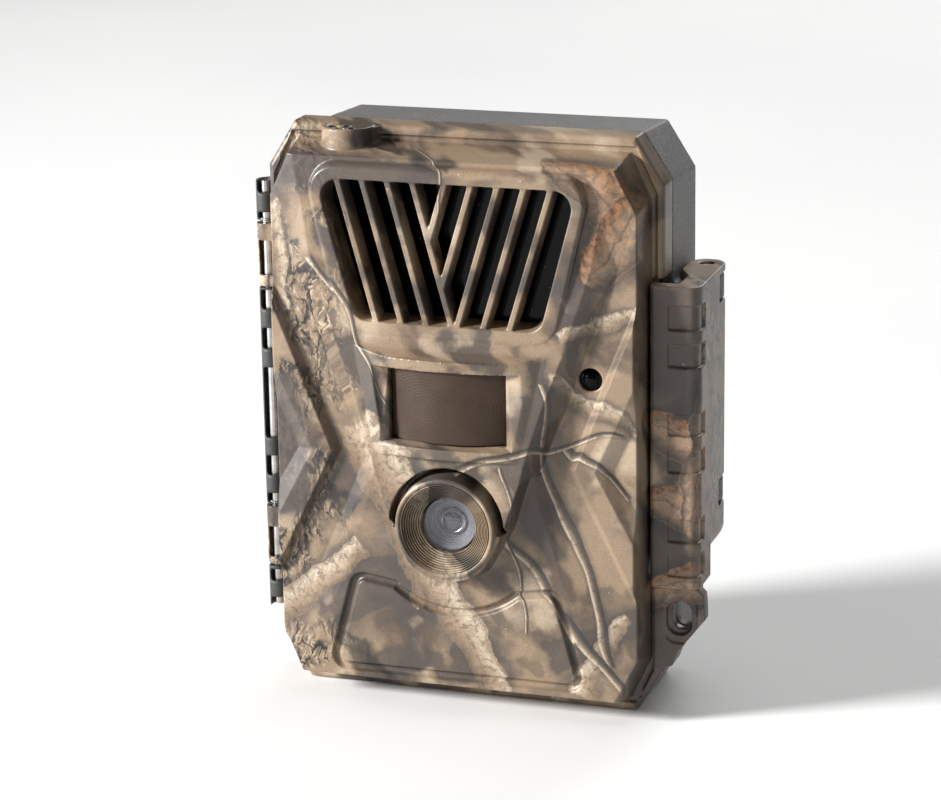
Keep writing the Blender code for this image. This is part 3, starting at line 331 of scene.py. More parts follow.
def body_outline(inset):
    """The body's octagon moved in by an even inset."""
    slope = math.hypot(CORNER_X, CORNER_Z)
    corner_x = CORNER_X + inset * (slope - CORNER_X - CORNER_Z) / CORNER_Z
    corner_z = CORNER_Z + inset * (slope - CORNER_X - CORNER_Z) / CORNER_X
    return octagon(HALF_WIDTH - inset, HALF_HEIGHT - inset, inset - HALF_HEIGHT,
                   corner_x, corner_z)


def block_outline(inset, draft):
    """The raised block's octagon, where draft is 0 at its foot and 1 at its front face."""
    top = BLOCK_TOP - inset - 1.9 * draft
    return octagon(BLOCK_HALF_WIDTH - inset - 0.9 * draft, top, -top, 4.8, 10.4)


def arc(centre, radius, start, end, steps):
    """Points on a circle from start to end, in degrees."""
    points = []
    for i in range(steps + 1):
        angle = math.radians(start + (end - start) * i / steps)
        points.append((centre[0] + radius * math.cos(angle), centre[1] + radius * math.sin(angle)))
    return points


def rounded(corners, radius, steps=8):
    """Round the corners of an outline with arcs of one radius."""
    points = []
    count = len(corners)
    for i in range(count):
        here = Vector(corners[i])
        before = (Vector(corners[i - 1]) - here).normalized()
        after = (Vector(corners[(i + 1) % count]) - here).normalized()
        half = 0.5 * before.angle(after)
        centre = here + (before + after).normalized() * radius / math.sin(half)
        start = here + before * radius / math.tan(half) - centre
        turn = start.angle_signed(here + after * radius / math.tan(half) - centre)
        for k in range(steps + 1):
            spoke = start.copy()
            spoke.rotate(Matrix.Rotation(-turn * k / steps, 2))
            points.append(tuple(centre + spoke))
    return points


def trapezoid(grow):
    """Grille opening, grown evenly outwards."""
    slant = grow * 1.04
    return rounded([(GRILLE_TOP_HALF + slant, GRILLE_TOP + grow),
                    (-GRILLE_TOP_HALF - slant, GRILLE_TOP + grow),
                    (-GRILLE_BOTTOM_HALF - slant, GRILLE_BOTTOM - grow),
                    (GRILLE_BOTTOM_HALF + slant, GRILLE_BOTTOM - grow)], 4.2 + 0.7 * grow)


def mirrored(points):
    return [(-u, v) for u, v in reversed(points)]


def both_sides(points):
    return points + mirrored(points)


def oval(centre, width, height, steps=16):
    straight = 0.5 * (height - width)
    return (arc((centre[0], centre[1] + straight), 0.5 * width, 0, 180, steps)
            + arc((centre[0], centre[1] - straight), 0.5 * width, 180, 360, steps))


# ---------------------------------------------------------------- materials

class Nodes:
    """Short calls for building one material's node tree."""

    def __init__(self, tree):
        self.tree = tree
        self.shader = tree.nodes.get("Principled BSDF")

    def plug(self, socket, value):
        """Link a socket, or set its value; a colour may leave out its alpha."""
        if isinstance(value, bpy.types.NodeSocket):
            self.tree.links.new(value, socket)
        elif socket.type == "RGBA":
            socket.default_value = (*value[:3], 1.0)
        else:
            socket.default_value = value

    def add(self, kind, inputs=None, **settings):
        node = self.tree.nodes.new("ShaderNode" + kind)
        for key, value in settings.items():
            setattr(node, key, value)
        for socket, value in (inputs or {}).items():
            self.plug(node.inputs[socket], value)
        return node

    def math(self, operation, a, b=0.0, c=0.0):
        node = self.add("Math", {0: a, 1: b, 2: c}, operation=operation)
        return node.outputs[0]

    def vector(self, operation, a, b):
        return self.add("VectorMath", {0: a, 1: b}, operation=operation).outputs[0]

    def step(self, value, low, high, bottom=0.0, top=1.0):
        """Smooth step from bottom at low to top at high."""
        node = self.add("MapRange", {0: value, 1: low, 2: high, 3: bottom, 4: top},
                        interpolation_type="SMOOTHSTEP")
        return node.outputs[0]

    def mix(self, factor, a, b, blend="MIX"):
        node = self.add("Mix", {0: factor, 6: a, 7: b}, data_type="RGBA", blend_type=blend)
        return node.outputs[2]

    def blend(self, factor, a, b):
        """Mix of two plain values."""
        return self.add("Mix", {0: factor, 2: a, 3: b}, data_type="FLOAT").outputs[0]

    def noise(self, vector, scale, detail=2.0, roughness=0.5, distortion=0.0, output=0):
        node = self.add("TexNoise", {"Vector": vector, "Scale": scale, "Detail": detail,
                                     "Roughness": roughness, "Distortion": distortion})
        return node.outputs[output]

    def cells(self, vector, scale, feature="F1", output="Distance", randomness=1.0):
        node = self.add("TexVoronoi", {"Vector": vector, "Scale": scale,
                                       "Randomness": randomness}, feature=feature)
        return node.outputs[output]

    def ramp(self, factor, *stops):
        """Colour ramp from (position, colour) stops."""
        node = self.add("ValToRGB", {0: factor})
        elements = node.color_ramp.elements
        while len(elements) < len(stops):
            elements.new(0.5)
        for element, (position, colour) in zip(elements, stops):
            element.position = position
            element.color = (*colour, 1.0)
        return node.outputs[0]

    def millimetres(self):
        """Place on the object, in millimetres from the body's middle."""
        place = self.add("TexCoord").outputs["Object"]
        node = self.add("VectorMath", {0: place, 1: (1000.0,) * 3, 2: (0.0, 0.0, -HALF_HEIGHT)},
                        operation="MULTIPLY_ADD")
        return node.outputs[0]

    def stretch(self, vector, scale, turn=(0.0, 0.0, 0.0)):
        return self.add("Mapping", {"Vector": vector, "Rotation": turn, "Scale": scale}).outputs[0]

    def bump(self, height, distance, strength):
        inputs = {"Height": height, "Distance": distance * MM, "Strength": strength}
        return self.add("Bump", inputs).outputs[0]

    def split(self, vector):
        return self.add("SeparateXYZ", {0: vector}).outputs

    def warp(self, vector, source, scale, detail, reach):
        """Push a vector about by noise that is read at source."""
        push = self.vector("SUBTRACT", self.noise(source, scale, detail, output=1), (0.5,) * 3)
        return self.vector("ADD", vector, self.vector("MULTIPLY", push, reach))

    def lay(self, base, cover, strength, layer):
        """Lay a colour over a base where cover says, at a given strength."""
        return self.mix(self.math("MULTIPLY", cover, strength), base, layer)

    def surface(self, colour, rough, normal=None):
        """Plug the finished colour, roughness and normal into the shader."""
        for name, value in (("Base Color", colour), ("Roughness", rough), ("Normal", normal)):
            if value is not None:
                self.plug(self.shader.inputs[name], value)


def principled(name, **sockets):
    """New material with one Principled shader, its nodes, and the place on the object."""
    made = bpy.data.materials.new(name)
    made.use_nodes = True
    n = Nodes(made.node_tree)
    for key, value in sockets.items():
        socket = key.replace("_", " ").title().replace("Ior", "IOR")
        n.shader.inputs[socket].default_value = value
    return made, n, n.millimetres()


TAN = (0.275, 0.196, 0.128)
CREAM = (0.480, 0.375, 0.268)
PALE = (0.600, 0.515, 0.405)
BROWN = (0.125, 0.086, 0.059)
TAUPE = (0.066, 0.053, 0.047)
DARK = (0.020, 0.016, 0.015)
RUST = (0.330, 0.155, 0.065)
UMBER = (0.075, 0.038, 0.021)


def stroke_group():
    """Node group for one tapered stroke: how far it covers, its side, and its soft halo.

    Along and Across are the stroke's own coordinates, each a weight of U, of V and a shift.
    """
    tree = bpy.data.node_groups.new("stroke", "ShaderNodeTree")
    for name in ("U", "V", "Along U", "Along V", "Along Shift", "Across U", "Across V",
                 "Across Shift", "Width", "Taper", "Bend", "Leaf"):
        tree.interface.new_socket(name, in_out="INPUT", socket_type="NodeSocketFloat")
    for name in ("Cover", "Side", "Share", "Halo"):
        tree.interface.new_socket(name, in_out="OUTPUT", socket_type="NodeSocketFloat")
    source = tree.nodes.new("NodeGroupInput").outputs
    n = Nodes(tree)

    def place(way):
        shifted = n.math("MULTIPLY_ADD", source["V"], source[way + " V"], source[way + " Shift"])
        return n.math("MULTIPLY_ADD", source["U"], source[way + " U"], shifted)

    share = place("Along")
    arch = n.math("MULTIPLY", share, n.math("MULTIPLY_ADD", share, -4.0, 4.0))
    bow = n.math("MULTIPLY", arch, source["Bend"])
    across = n.math("SUBTRACT", place("Across"), bow)
    taper = n.blend(share, 1.0, source["Taper"])
    pointed = n.math("SQRT", n.math("MAXIMUM", arch, 0.0))
    width = n.math("MULTIPLY", source["Width"], n.blend(source["Leaf"], taper, pointed))
    side = n.math("DIVIDE", across, n.math("MAXIMUM", width, 0.05))
    distance = n.math("ABSOLUTE", side)
    middle = n.math("ABSOLUTE", n.math("SUBTRACT", share, 0.5))
    cover = n.math("MULTIPLY", n.step(distance, 1.0, 0.86), n.step(middle, 0.52, 0.48))
    halo = n.math("MULTIPLY", n.step(distance, 1.9, 0.9), n.step(middle, 0.62, 0.44))
    sink = tree.nodes.new("NodeGroupOutput").inputs
    for name, value in (("Cover", cover), ("Side", side), ("Share", share), ("Halo", halo)):
        tree.links.new(value, sink[name])
    return tree


STROKE = stroke_group()


def strokes(n, u, v, rows, leaf=0.0):
    """Several strokes as one layer: what they cover, the side and share there, and the halo."""
    cover = side = share = halo = 0.0
    for x, z, angle, length, width, taper, bend in rows:
        cos, sin = math.cos(math.radians(angle)), math.sin(math.radians(angle))
        node = n.add("Group", node_tree=STROKE)
        values = (u, v, cos / length, sin / length, -(x * cos + z * sin) / length,
                  -sin, cos, x * sin - z * cos, width, taper, bend, leaf)
        for socket, value in zip(node.inputs, values):
            n.plug(socket, value)
        out = node.outputs
        side = n.blend(out["Cover"], side, out["Side"])
        share = n.blend(out["Cover"], share, out["Share"])
        cover = n.math("MAXIMUM", cover, out["Cover"])
        halo = n.math("MAXIMUM", halo, out["Halo"])
    return cover, side, share, halo


# The print's strokes, as rows of (x, z, angle, length, half width, taper, bend) on the flat
# pattern: the front face as seen from the front, carried on over the sides and the latch.
SHADES = ((-31, -44, 14, 30, 8.5, 0.6, 2), (-45, 10, -86, 34, 5.0, 1.3, 1),
          (-44, 62, -24, 34, 5.5, 0.5, 0), (10, -8, -58, 26, 5.0, 0.5, 1),
          (22, -54, 28, 26, 4.5, 0.7, 0), (-34, 58, -3, 28, 4.2, 0.7, 1),
          (30, 40, -98, 26, 4.2, 0.4, 0), (54, 38, -88, 36, 6.5, 0.8, 0),
          (50, -14, -80, 22, 5.5, 0.6, 1), (-28, 20, -72, 24, 3.0, 0.5, 1),
          (16, 8, -74, 30, 3.4, 0.6, -1), (-10, 30, 8, 34, 3.0, 0.6, 1),
          (56, -28, -92, 30, 7.5, 0.8, 0), (44, -60, 62, 30, 5.0, 0.8, 0),
          (18.8, 17.0, -93, 20, 2.4, 1.0, 0), (-11, -25, 50, 17, 4.6, 0.8, 0))
LIMBS = ((-46, -50, 40, 30, 3.6, 0.75, 0.5), (-26, 0, -64, 46, 5.0, 1.25, 1.5),
         (23, 21, 24, 22, 2.1, 0.8, 0.6), (22, 12, -26, 24, 2.0, 0.8, 0.4),
         (-7, -36, -60, 34, 5.0, 0.7, 0.6), (-44, 52, -82, 26, 2.6, 0.7, 0.6),
         (30, -62, 62, 22, 3.6, 0.5, 0.8))
TWIGS = ((19, 12, -84, 17, 1.2, 1.2, 0.3), (20.6, -4.5, -66, 27, 1.4, 1.1, 0.6),
         (31.4, -28.5, -76, 27, 1.4, 0.9, -0.5), (11, -26, -50, 46, 1.3, 1.2, 0.9),
         (28, -2, -43, 18, 1.2, 0.7, 0.4), (-2, -12, 17, 44, 0.9, 0.6, 0.8),
         (9, -10, -78, 40, 0.5, 0.8, -0.6), (-5.5, 68, -88, 24, 0.45, 0.8, 0.5),
         (-36, 38, -62, 40, 0.7, 0.5, 1.2))
LEAVES = ((22, 64, -40, 32, 7.0, 1, 1.5), (31, 34, 54, 32, 6.0, 1, 1.0),
          (47, 8, -30, 26, 6.0, 1, 1.4), (48, -12, -12, 26, 5.5, 1, 1.2),
          (49, -34, 14, 26, 4.6, 1, 1.0), (66, 24, -100, 44, 5.0, 1, 0.6))


def camo_plastic():
    """Film-dipped plastic: a woodland print of bark, limbs, twigs and dead leaves, plus painted
    shade.
    """
    made, n, place = principled("camo_plastic")
    x, y, z = n.split(place)
    depth = n.math("SUBTRACT", y, BLOCK_FRONT_Y)
    flat = n.add("CombineXYZ", {0: n.math("MULTIPLY_ADD", depth, 0.8, x),
                                1: n.math("MULTIPLY_ADD", depth, 0.6, z)}).outputs[0]
    swayed = n.warp(flat, flat, 0.05, 1.0, (9.0, 7.0, 0.0))
    smooth_u, smooth_v = n.split(swayed)[:2]
    swirled = n.warp(flat, flat, 0.11, 3.0, (7.0, 7.0, 0.0))
    bent = n.warp(swirled, flat, 0.9, 2.0, (1.1, 1.1, 0.0))
    u, v = n.split(bent)[:2]

    # Blurred forest behind everything, with harder shadow patches.
    mottle = n.noise(flat, 0.042, 4.0, 0.55, 0.5)
    colour = n.ramp(mottle, (0.30, TAUPE), (0.40, BROWN), (0.47, TAN), (0.60, TAN),
                    (0.70, CREAM))
    calm = n.step(u, 4.0, 20.0, 1.0, 0.45)
    patch = n.noise(n.vector("ADD", bent, (37.0, 11.0, 0.0)), 0.055, 3.0, 0.5)
    colour = n.lay(colour, n.step(patch, 0.52, 0.60, 0.0, 0.85), calm, TAUPE)
    shadow = n.noise(n.vector("ADD", bent, (5.0, 71.0, 0.0)), 0.048, 3.0, 0.5)
    colour = n.lay(colour, n.step(shadow, 0.56, 0.61, 0.0, 0.8), calm, DARK)
    colour = n.mix(n.step(shadow, 0.44, 0.36, 0.0, 0.7), colour, CREAM)

    # Bark: pale plates between dark cracks, in two broad zones.
    grain = n.stretch(bent, (0.42, 0.15, 1.0), (0.0, 0.0, 0.35))
    cracks = n.cells(grain, 1.0, "DISTANCE_TO_EDGE")
    fibre = n.noise(n.stretch(bent, (1.5, 0.30, 1.0), (0.0, 0.0, 0.3)), 1.0, 4.0, 0.65)
    smudge = n.noise(n.stretch(bent, (0.55, 0.24, 1.0), (0.0, 0.0, 0.35)), 1.0, 5.0, 0.70, 0.5)
    plates = n.ramp(fibre, (0.36, BROWN), (0.50, TAN), (0.64, CREAM))
    plates = n.mix(n.step(smudge, 0.50, 0.58, 0.0, 0.85), plates, TAUPE)
    worn = n.math("MULTIPLY_ADD", smudge, -0.5, n.math("ADD", cracks, 0.27))
    bark = n.mix(n.step(worn, 0.02, 0.12), DARK, plates)
    left_zone = n.step(u, -22.0, -34.0)
    latch_zone = n.math("MULTIPLY", n.step(u, 60.0, 63.0), n.step(u, 86.0, 80.0))
    zone = n.math("MAXIMUM", left_zone, latch_zone)
    gate = n.step(n.noise(flat, 0.055, 3.0, 0.5), 0.44, 0.50)
    colour = n.lay(colour, zone, gate, bark)

    # Soft shade, then limbs, leaves and twigs on top of each other.
    cover, _, _, halo = strokes(n, u, v, SHADES)
    colour = n.lay(colour, halo, 0.6, TAUPE)
    colour = n.lay(colour, cover, 0.7, TAUPE)

    speck = n.noise(bent, 0.55, 4.0, 0.65)
    cover, side, _, halo = strokes(n, u, v, LIMBS)
    colour = n.lay(colour, halo, 0.65, TAUPE)
    limb = n.ramp(n.math("MULTIPLY_ADD", side, 0.5, 0.5), (0.0, DARK), (0.08, BROWN),
                  (0.26, TAN), (0.55, CREAM), (0.80, PALE), (0.94, TAN), (1.0, BROWN))
    limb = n.mix(n.step(speck, 0.47, 0.62, 0.0, 0.85), limb, BROWN)
    limb = n.mix(n.step(fibre, 0.42, 0.62, 0.45, 0.0), limb, TAN)
    colour = n.lay(colour, cover, 0.92, limb)

    cover, side, share, halo = strokes(n, u, v, LEAVES, leaf=1.0)
    veins = n.math("MULTIPLY_ADD", n.math("ABSOLUTE", side), -5.0, n.math("MULTIPLY", share, 30.0))
    ribs = n.step(n.math("SINE", veins), 0.70, 1.0, 0.0, 0.25)
    leaf = n.mix(n.step(speck, 0.36, 0.60), UMBER, RUST)
    leaf = n.mix(n.step(side, 0.9, -0.2, 0.0, 0.45), leaf, CREAM)
    leaf = n.mix(ribs, leaf, UMBER)
    leaf = n.mix(n.step(side, -0.2, -0.9, 0.0, 0.8), leaf, DARK)
    leaf = n.mix(n.step(n.math("ABSOLUTE", side), 0.08, 0.0, 0.0, 0.6), leaf, UMBER)
    colour = n.lay(colour, halo, 0.7, DARK)
    colour = n.lay(colour, cover, 0.9, leaf)

    cover, side, _, halo = strokes(n, smooth_u, smooth_v, TWIGS)
    colour = n.lay(colour, halo, 0.45, TAUPE)
    twig = n.ramp(n.math("MULTIPLY_ADD", side, 0.5, 0.5), (0.0, TAN), (0.16, PALE),
                  (0.34, TAN), (0.60, TAUPE), (1.0, DARK))
    twig = n.mix(n.step(speck, 0.50, 0.66, 0.0, 0.7), twig, TAUPE)
    colour = n.lay(colour, cover, 0.9, twig)

    # Painted shade: the colour darkens on slopes that face the object's right, where light from
    # the left leaves them in shade.
    lean = n.split(n.add("TexCoord").outputs["Normal"])[0]
    colour = n.mix(n.step(lean, 0.12, 0.75, 0.0, 0.50), colour, DARK)

    # Print grain and a few pale rubs and dust specks.
    print_grain = n.noise(place, 2.6, 3.0, 0.7)
    colour = n.mix(0.55, colour, n.ramp(print_grain, (0.3, (0.30,) * 3), (0.7, (0.62,) * 3)),
                   "OVERLAY")
    dust = n.cells(place, 0.22)
    colour = n.mix(n.step(dust, 0.050, 0.030, 0.0, 0.7), colour, PALE)
    skin = n.noise(place, 6.0, 2.0, 0.5)
    n.surface(colour, n.step(print_grain, 0.2, 0.8, 0.30, 0.44), n.bump(skin, 0.03, 0.35))
    return made


def grained_plastic(name, dark, light, rough, grain=0.06, spread=(0.42, 0.60)):
    """Moulded plastic with a spark-eroded grain: fine lumps with paler tips."""
    made, n, place = principled(name)
    lumps = n.noise(place, 2.3, 3.0, 0.62)
    colour = n.ramp(lumps, (spread[0], dark), (spread[1], light))
    broad = n.noise(place, 0.05, 3.0)
    colour = n.mix(n.step(broad, 0.3, 0.7, 0.0, 0.25), colour, dark)
    x = n.split(place)[0]
    barrels = n.step(x, -48.0, -49.0, 0.0, 0.85)
    colour = n.mix(barrels, colour, (0.02, 0.02, 0.02))
    n.surface(colour, n.step(lumps, 0.3, 0.7, rough - 0.08, rough + 0.08),
              n.bump(lumps, grain, 0.7))
    return made


def seal_rubber():
    made, n, place = principled("seal_rubber", specular_ior_level=0.3)
    cloud = n.noise(place, 0.7, 4.0, 0.6)
    n.surface(n.ramp(cloud, (0.3, (0.016,) * 3), (0.7, (0.034,) * 3)),
              n.step(cloud, 0.2, 0.8, 0.62, 0.85), n.bump(n.noise(place, 3.5, 2.0), 0.05, 0.4))
    return made


def infrared_window():
    """Glossy near-black filter plastic with a little dust on it."""
    made, n, place = principled("infrared_window", specular_ior_level=0.12)
    dust = n.step(n.cells(place, 0.42), 0.055, 0.030)
    haze = n.noise(place, 0.12, 3.0)
    colour = n.mix(n.step(haze, 0.4, 0.7), (0.0012, 0.0012, 0.0014), (0.003, 0.0028, 0.003))
    n.surface(n.mix(dust, colour, (0.30, 0.29, 0.28)), n.step(haze, 0.3, 0.7, 0.08, 0.16))
    return made


def fresnel_plastic():
    """Brown polythene lens sheet, shaded opaque, with cloudy depth in its colour."""
    made, n, place = principled("fresnel_plastic", specular_ior_level=0.3)
    cloud = n.noise(place, 0.16, 3.0, 0.5)
    fine = n.noise(place, 3.0, 2.0)
    colour = n.ramp(cloud, (0.30, (0.036, 0.020, 0.012)), (0.70, (0.052, 0.031, 0.019)))
    n.surface(n.mix(n.step(fine, 0.4, 0.7, 0.0, 0.2), colour, (0.074, 0.046, 0.029)),
              n.step(fine, 0.3, 0.7, 0.38, 0.50))
    return made


def lens_glass():
    """Hazy clear disc: mostly see-through, with a grey bloom and light marks."""
    made, n, place = principled("lens_glass", specular_ior_level=0.8)
    marks = n.noise(place, 0.8, 4.0, 0.6)
    n.plug(n.shader.inputs["Alpha"], n.step(marks, 0.35, 0.80, 0.10, 0.20))
    n.surface(n.ramp(marks, (0.35, (0.185, 0.190, 0.210)), (0.75, (0.225, 0.228, 0.245))),
              n.step(marks, 0.45, 0.8, 0.04, 0.10))
    return made


def coated_lens():
    """Front lens element: dark in the middle, with a painted reflection that turns it pale
    grey-blue towards the rim.
    """
    made, n, place = principled("coated_lens", coat_weight=1.0, coat_roughness=0.02)
    # Painted reflection: the colour turns pale grey-blue where the surface turns away from the
    # view.
    facing = n.add("LayerWeight", {"Blend": 0.35}).outputs["Facing"]
    colour = n.ramp(facing, (0.0, (0.030, 0.031, 0.038)), (0.45, (0.080, 0.084, 0.100)),
                    (1.0, (0.42, 0.42, 0.46)))
    haze = n.noise(place, 1.2, 3.0)
    n.surface(colour, n.step(haze, 0.3, 0.7, 0.03, 0.08))
    return made


def metal(name, dark, light, rough, brushed=(1.0, 1.0, 6.0)):
    """Metal with fine drawn lines and slight tarnish."""
    made, n, place = principled(name, metallic=1.0)
    lines = n.noise(n.stretch(place, brushed), 1.4, 4.0, 0.6)
    stain = n.noise(place, 0.3, 4.0, 0.6)
    colour = n.ramp(stain, (0.35, light), (0.75, dark))
    n.surface(n.mix(n.step(lines, 0.4, 0.7, 0.0, 0.3), colour, dark),
              n.step(lines, 0.25, 0.75, rough - 0.08, rough + 0.12), n.bump(lines, 0.01, 0.3))
    return made


def circuit_board():
    """Green solder mask over copper tracks, with tinned pads."""
    made, n, place = principled("circuit_board", coat_weight=0.3, coat_roughness=0.15)
    x, _, z = n.split(place)
    flat = n.add("CombineXYZ", {0: x, 1: z}).outputs[0]
    tracks = n.add("TexVoronoi", {"Vector": flat, "Scale": 0.32}, feature="F1",
                   distance="CHEBYCHEV").outputs["Distance"]
    bands = n.math("PINGPONG", n.math("MULTIPLY", tracks, 5.0), 1.0)
    copper = n.step(bands, 0.50, 0.62)
    solder = n.mix(copper, (0.006, 0.045, 0.022), (0.014, 0.105, 0.046))
    pads = n.step(n.cells(flat, 0.45, randomness=0.7), 0.20, 0.17)
    pad_gate = n.step(n.noise(flat, 0.2, 2.0), 0.52, 0.56)
    colour = n.lay(solder, pads, pad_gate, (0.62, 0.60, 0.55))
    n.surface(colour, n.step(copper, 0.0, 1.0, 0.32, 0.42), n.bump(copper, 0.03, 0.5))
    return made


def cell_sleeve():
    """Shrink sleeve of a cell: dark body, warm band at the positive end, wrinkles at the rims."""
    made, n, place = principled("cell_sleeve", coat_weight=0.4, coat_roughness=0.1)
    z = n.split(place)[2]
    along = n.math("FRACT", n.math("DIVIDE", n.math("ADD", z, 50.35), 50.5))
    band = n.math("MULTIPLY", n.step(along, 0.70, 0.705), n.step(along, 0.975, 0.97))
    cloud = n.noise(place, 0.4, 3.0)
    sleeve = n.ramp(cloud, (0.3, (0.016, 0.018, 0.022)), (0.7, (0.030, 0.033, 0.040)))
    colour = n.mix(band, sleeve, (0.42, 0.20, 0.05))
    button = n.step(along, 0.974, 0.976)
    colour = n.mix(button, colour, (0.55, 0.55, 0.55))
    n.plug(n.shader.inputs["Metallic"], button)
    wrinkles = n.noise(n.stretch(place, (1.0, 1.0, 0.2)), 2.0, 2.0)
    n.surface(colour, n.step(cloud, 0.3, 0.7, 0.24, 0.34), n.bump(wrinkles, 0.02, 0.4))
    return made


def screen_glass():
    """Switched-off display: black border round a faintly blue-grey panel."""
    made, n, place = principled("screen_glass", coat_weight=1.0, coat_roughness=0.03)
    x, _, z = n.split(place)
    inside_x = n.step(n.math("ABSOLUTE", x), 22.6, 22.4)
    inside_z = n.step(n.math("ABSOLUTE", n.math("SUBTRACT", z, 31.6)), 16.6, 16.4)
    cloud = n.noise(place, 0.03, 2.0)
    panel = n.ramp(cloud, (0.3, (0.016, 0.019, 0.024)), (0.7, (0.028, 0.032, 0.040)))
    n.surface(n.mix(n.math("MULTIPLY", inside_x, inside_z), (0.004, 0.004, 0.005), panel),
              n.step(n.noise(place, 0.5, 3.0), 0.3, 0.8, 0.06, 0.14))
    return made


def studio_floor():
    made, n, place = principled("studio_floor", specular_ior_level=0.2)
    cloud = n.noise(place, 0.004, 3.0)
    n.surface(n.ramp(cloud, (0.3, (0.86, 0.86, 0.86)), (0.7, (0.90, 0.90, 0.89))),
              n.step(cloud, 0.3, 0.7, 0.75, 0.85))
    return made


CAMO = camo_plastic()
GREY = grained_plastic("grey_plastic", (0.072, 0.070, 0.069), (0.215, 0.209, 0.204), 0.55)
BLACK = grained_plastic("black_plastic", (0.012, 0.012, 0.012), (0.030, 0.029, 0.029), 0.48,
                        0.04)
BARREL = grained_plastic("barrel_plastic", (0.150, 0.150, 0.162), (0.185, 0.185, 0.198), 0.38,
                         0.02)
KEY = grained_plastic("key_plastic", (0.085, 0.085, 0.088), (0.130, 0.130, 0.135), 0.50, 0.03)
CARD = grained_plastic("card_plastic", (0.010, 0.014, 0.030), (0.018, 0.024, 0.050), 0.42, 0.02)
RUBBER = seal_rubber()
WINDOW = infrared_window()
FRESNEL = fresnel_plastic()
GLASS = lens_glass()
COATED = coated_lens()
STEEL = metal("steel", (0.34, 0.33, 0.32), (0.62, 0.61, 0.60), 0.30)
BRASS = metal("brass", (0.42, 0.29, 0.11), (0.74, 0.56, 0.26), 0.30)
BOARD = circuit_board()
CELL = cell_sleeve()
SCREEN = screen_glass()


# ---------------------------------------------------------------- front cover

def inset(points, amount):
    """Move a closed counterclockwise outline inwards by an even amount."""
    moved = []
    count = len(points)
    for i in range(count):
        here = Vector(points[i])
        into = (here - Vector(points[i - 1])).normalized()
        out = (Vector(points[(i + 1) % count]) - here).normalized()
        normal = (into.orthogonal() + out.orthogonal()).normalized()
        moved.append(tuple(here + normal * amount / max(normal.dot(into.orthogonal()), 0.3)))
    return moved


def block_solid(name, back, front, shrink=0.0):
    """The drafted block between two depths."""
    def section(y):
        return y, block_outline(shrink, (FLANGE_FRONT_Y + 1.0 - y) / 9.9)
    return loft(name, [section(back), section(front)])


def relief(name, foot, top, front_y, shrink, limit_y=-24.0):
    """Raised area drafted from its foot on the block to its top, inside the block's sides."""
    raised = loft(name, [(BLOCK_FRONT_Y + 0.8, foot), (BLOCK_FRONT_Y, foot), (front_y, top)])
    return keep(raised, block_solid(name + "_limit", INSIDE_Y, limit_y, shrink))


def mask():
    """Raised V that carries the grille, the sensor and the lens; it rises towards the lens."""
    foot = arc(LENS, 14.4, -86, -54, 6) + [(15.2, -21.7), (18.8, -10.0), (21.4, -7.0), (24.3, 0.5),
                                           (27.2, 7.4), (31.2, 18.7), (39.1, 39.9), (43.4, 52.2),
                                           (43.8, 70.0)]
    top = arc(LENS, 12.8, -86, -44, 6) + [(13.6, -21.7), (17.3, -10.3), (18.4, -5.6), (20.2, 0.5),
                                          (22.4, 7.4), (26.6, 18.7), (33.4, 39.9), (35.2, 51.5),
                                          (38.9, 70.0)]
    leaned = [(x, z, 0.07 * (z + 10.0)) for x, z in both_sides(top)]
    return relief("mask", both_sides(foot), leaned, MASK_FRONT_Y, 0.05, -29.0)


def chevron(side):
    """Raised V-shaped strip at one edge of the block."""
    foot = [(46.0, 38.4), (27.5, -7.0), (46.0, -44.0), (47.0, -22.0), (38.0, -7.0), (47.0, 11.6)]
    top = [(47.4, 38.4), (29.2, -7.0), (47.4, -44.0), (44.0, -25.4), (34.0, -7.0), (44.0, 15.0)]
    if side < 0:
        foot, top = mirrored(foot), mirrored(top)
    return relief(f"chevron_{side}", foot, top, BLOCK_FRONT_Y - 2.2, 0.03)


def plateau():
    """Low plateau under the mask, whose sides widen downwards."""
    foot = both_sides([(43.2, -70.0), (43.2, -56.0), (34.8, -38.0), (21.8, -8.3)])
    top = both_sides([(38.0, -70.0), (38.0, -62.0), (26.0, -34.5), (18.6, -10.1)])
    return cut(relief("plateau", foot, top, PLATEAU_FRONT_Y, 0.07), panel_groove())


def panel_groove():
    """Groove round the lower panel, which has two shoulders and dips under the lens."""
    corners = rounded([(-32.2, -61.2), (32.2, -61.2), (25.4, -36.0), (14.0, -36.6)], 4.0)
    right = corners[9:27]
    dip = arc(LENS, 21.4, -48, -132, 24)
    outer = right + dip + mirrored(right)
    face = PLATEAU_FRONT_Y
    trench = loft("panel_groove", [(face - 2.0, outer), (face, outer),
                                   (face + 1.1, inset(outer, 0.7))])
    island = loft("panel_island", [(face - 3.0, inset(outer, 2.4)), (face, inset(outer, 2.4)),
                                   (face + 1.3, inset(outer, 1.6))])
    return cut(trench, island)


def pir_hood():
    """Frame round the motion sensor, with a curved front and flared cheeks."""
    chord = 30.0
    radius = 64.0
    sweep = math.degrees(math.asin(chord / radius))
    plan = arc((0.0, PIR_FRONT_Y + radius), radius, -90 - sweep, -90 + sweep, 40)
    plan += [(chord, -20.6), (-chord, -20.6)]
    hood = extrude("pir_hood", "Z", [plan], -9.0, 23.0)
    front = [(25.6, 18.0), (-25.6, 18.0), (-17.2, -5.2), (17.2, -5.2)]
    back = [(28.6, 22.6), (-28.6, 22.6), (-19.4, -7.2), (19.4, -7.2)]
    return keep(hood, loft("pir_hood_sides", [(-30.0, front), (PIR_FRONT_Y + 1.6, front),
                                              (-20.0, back)]))


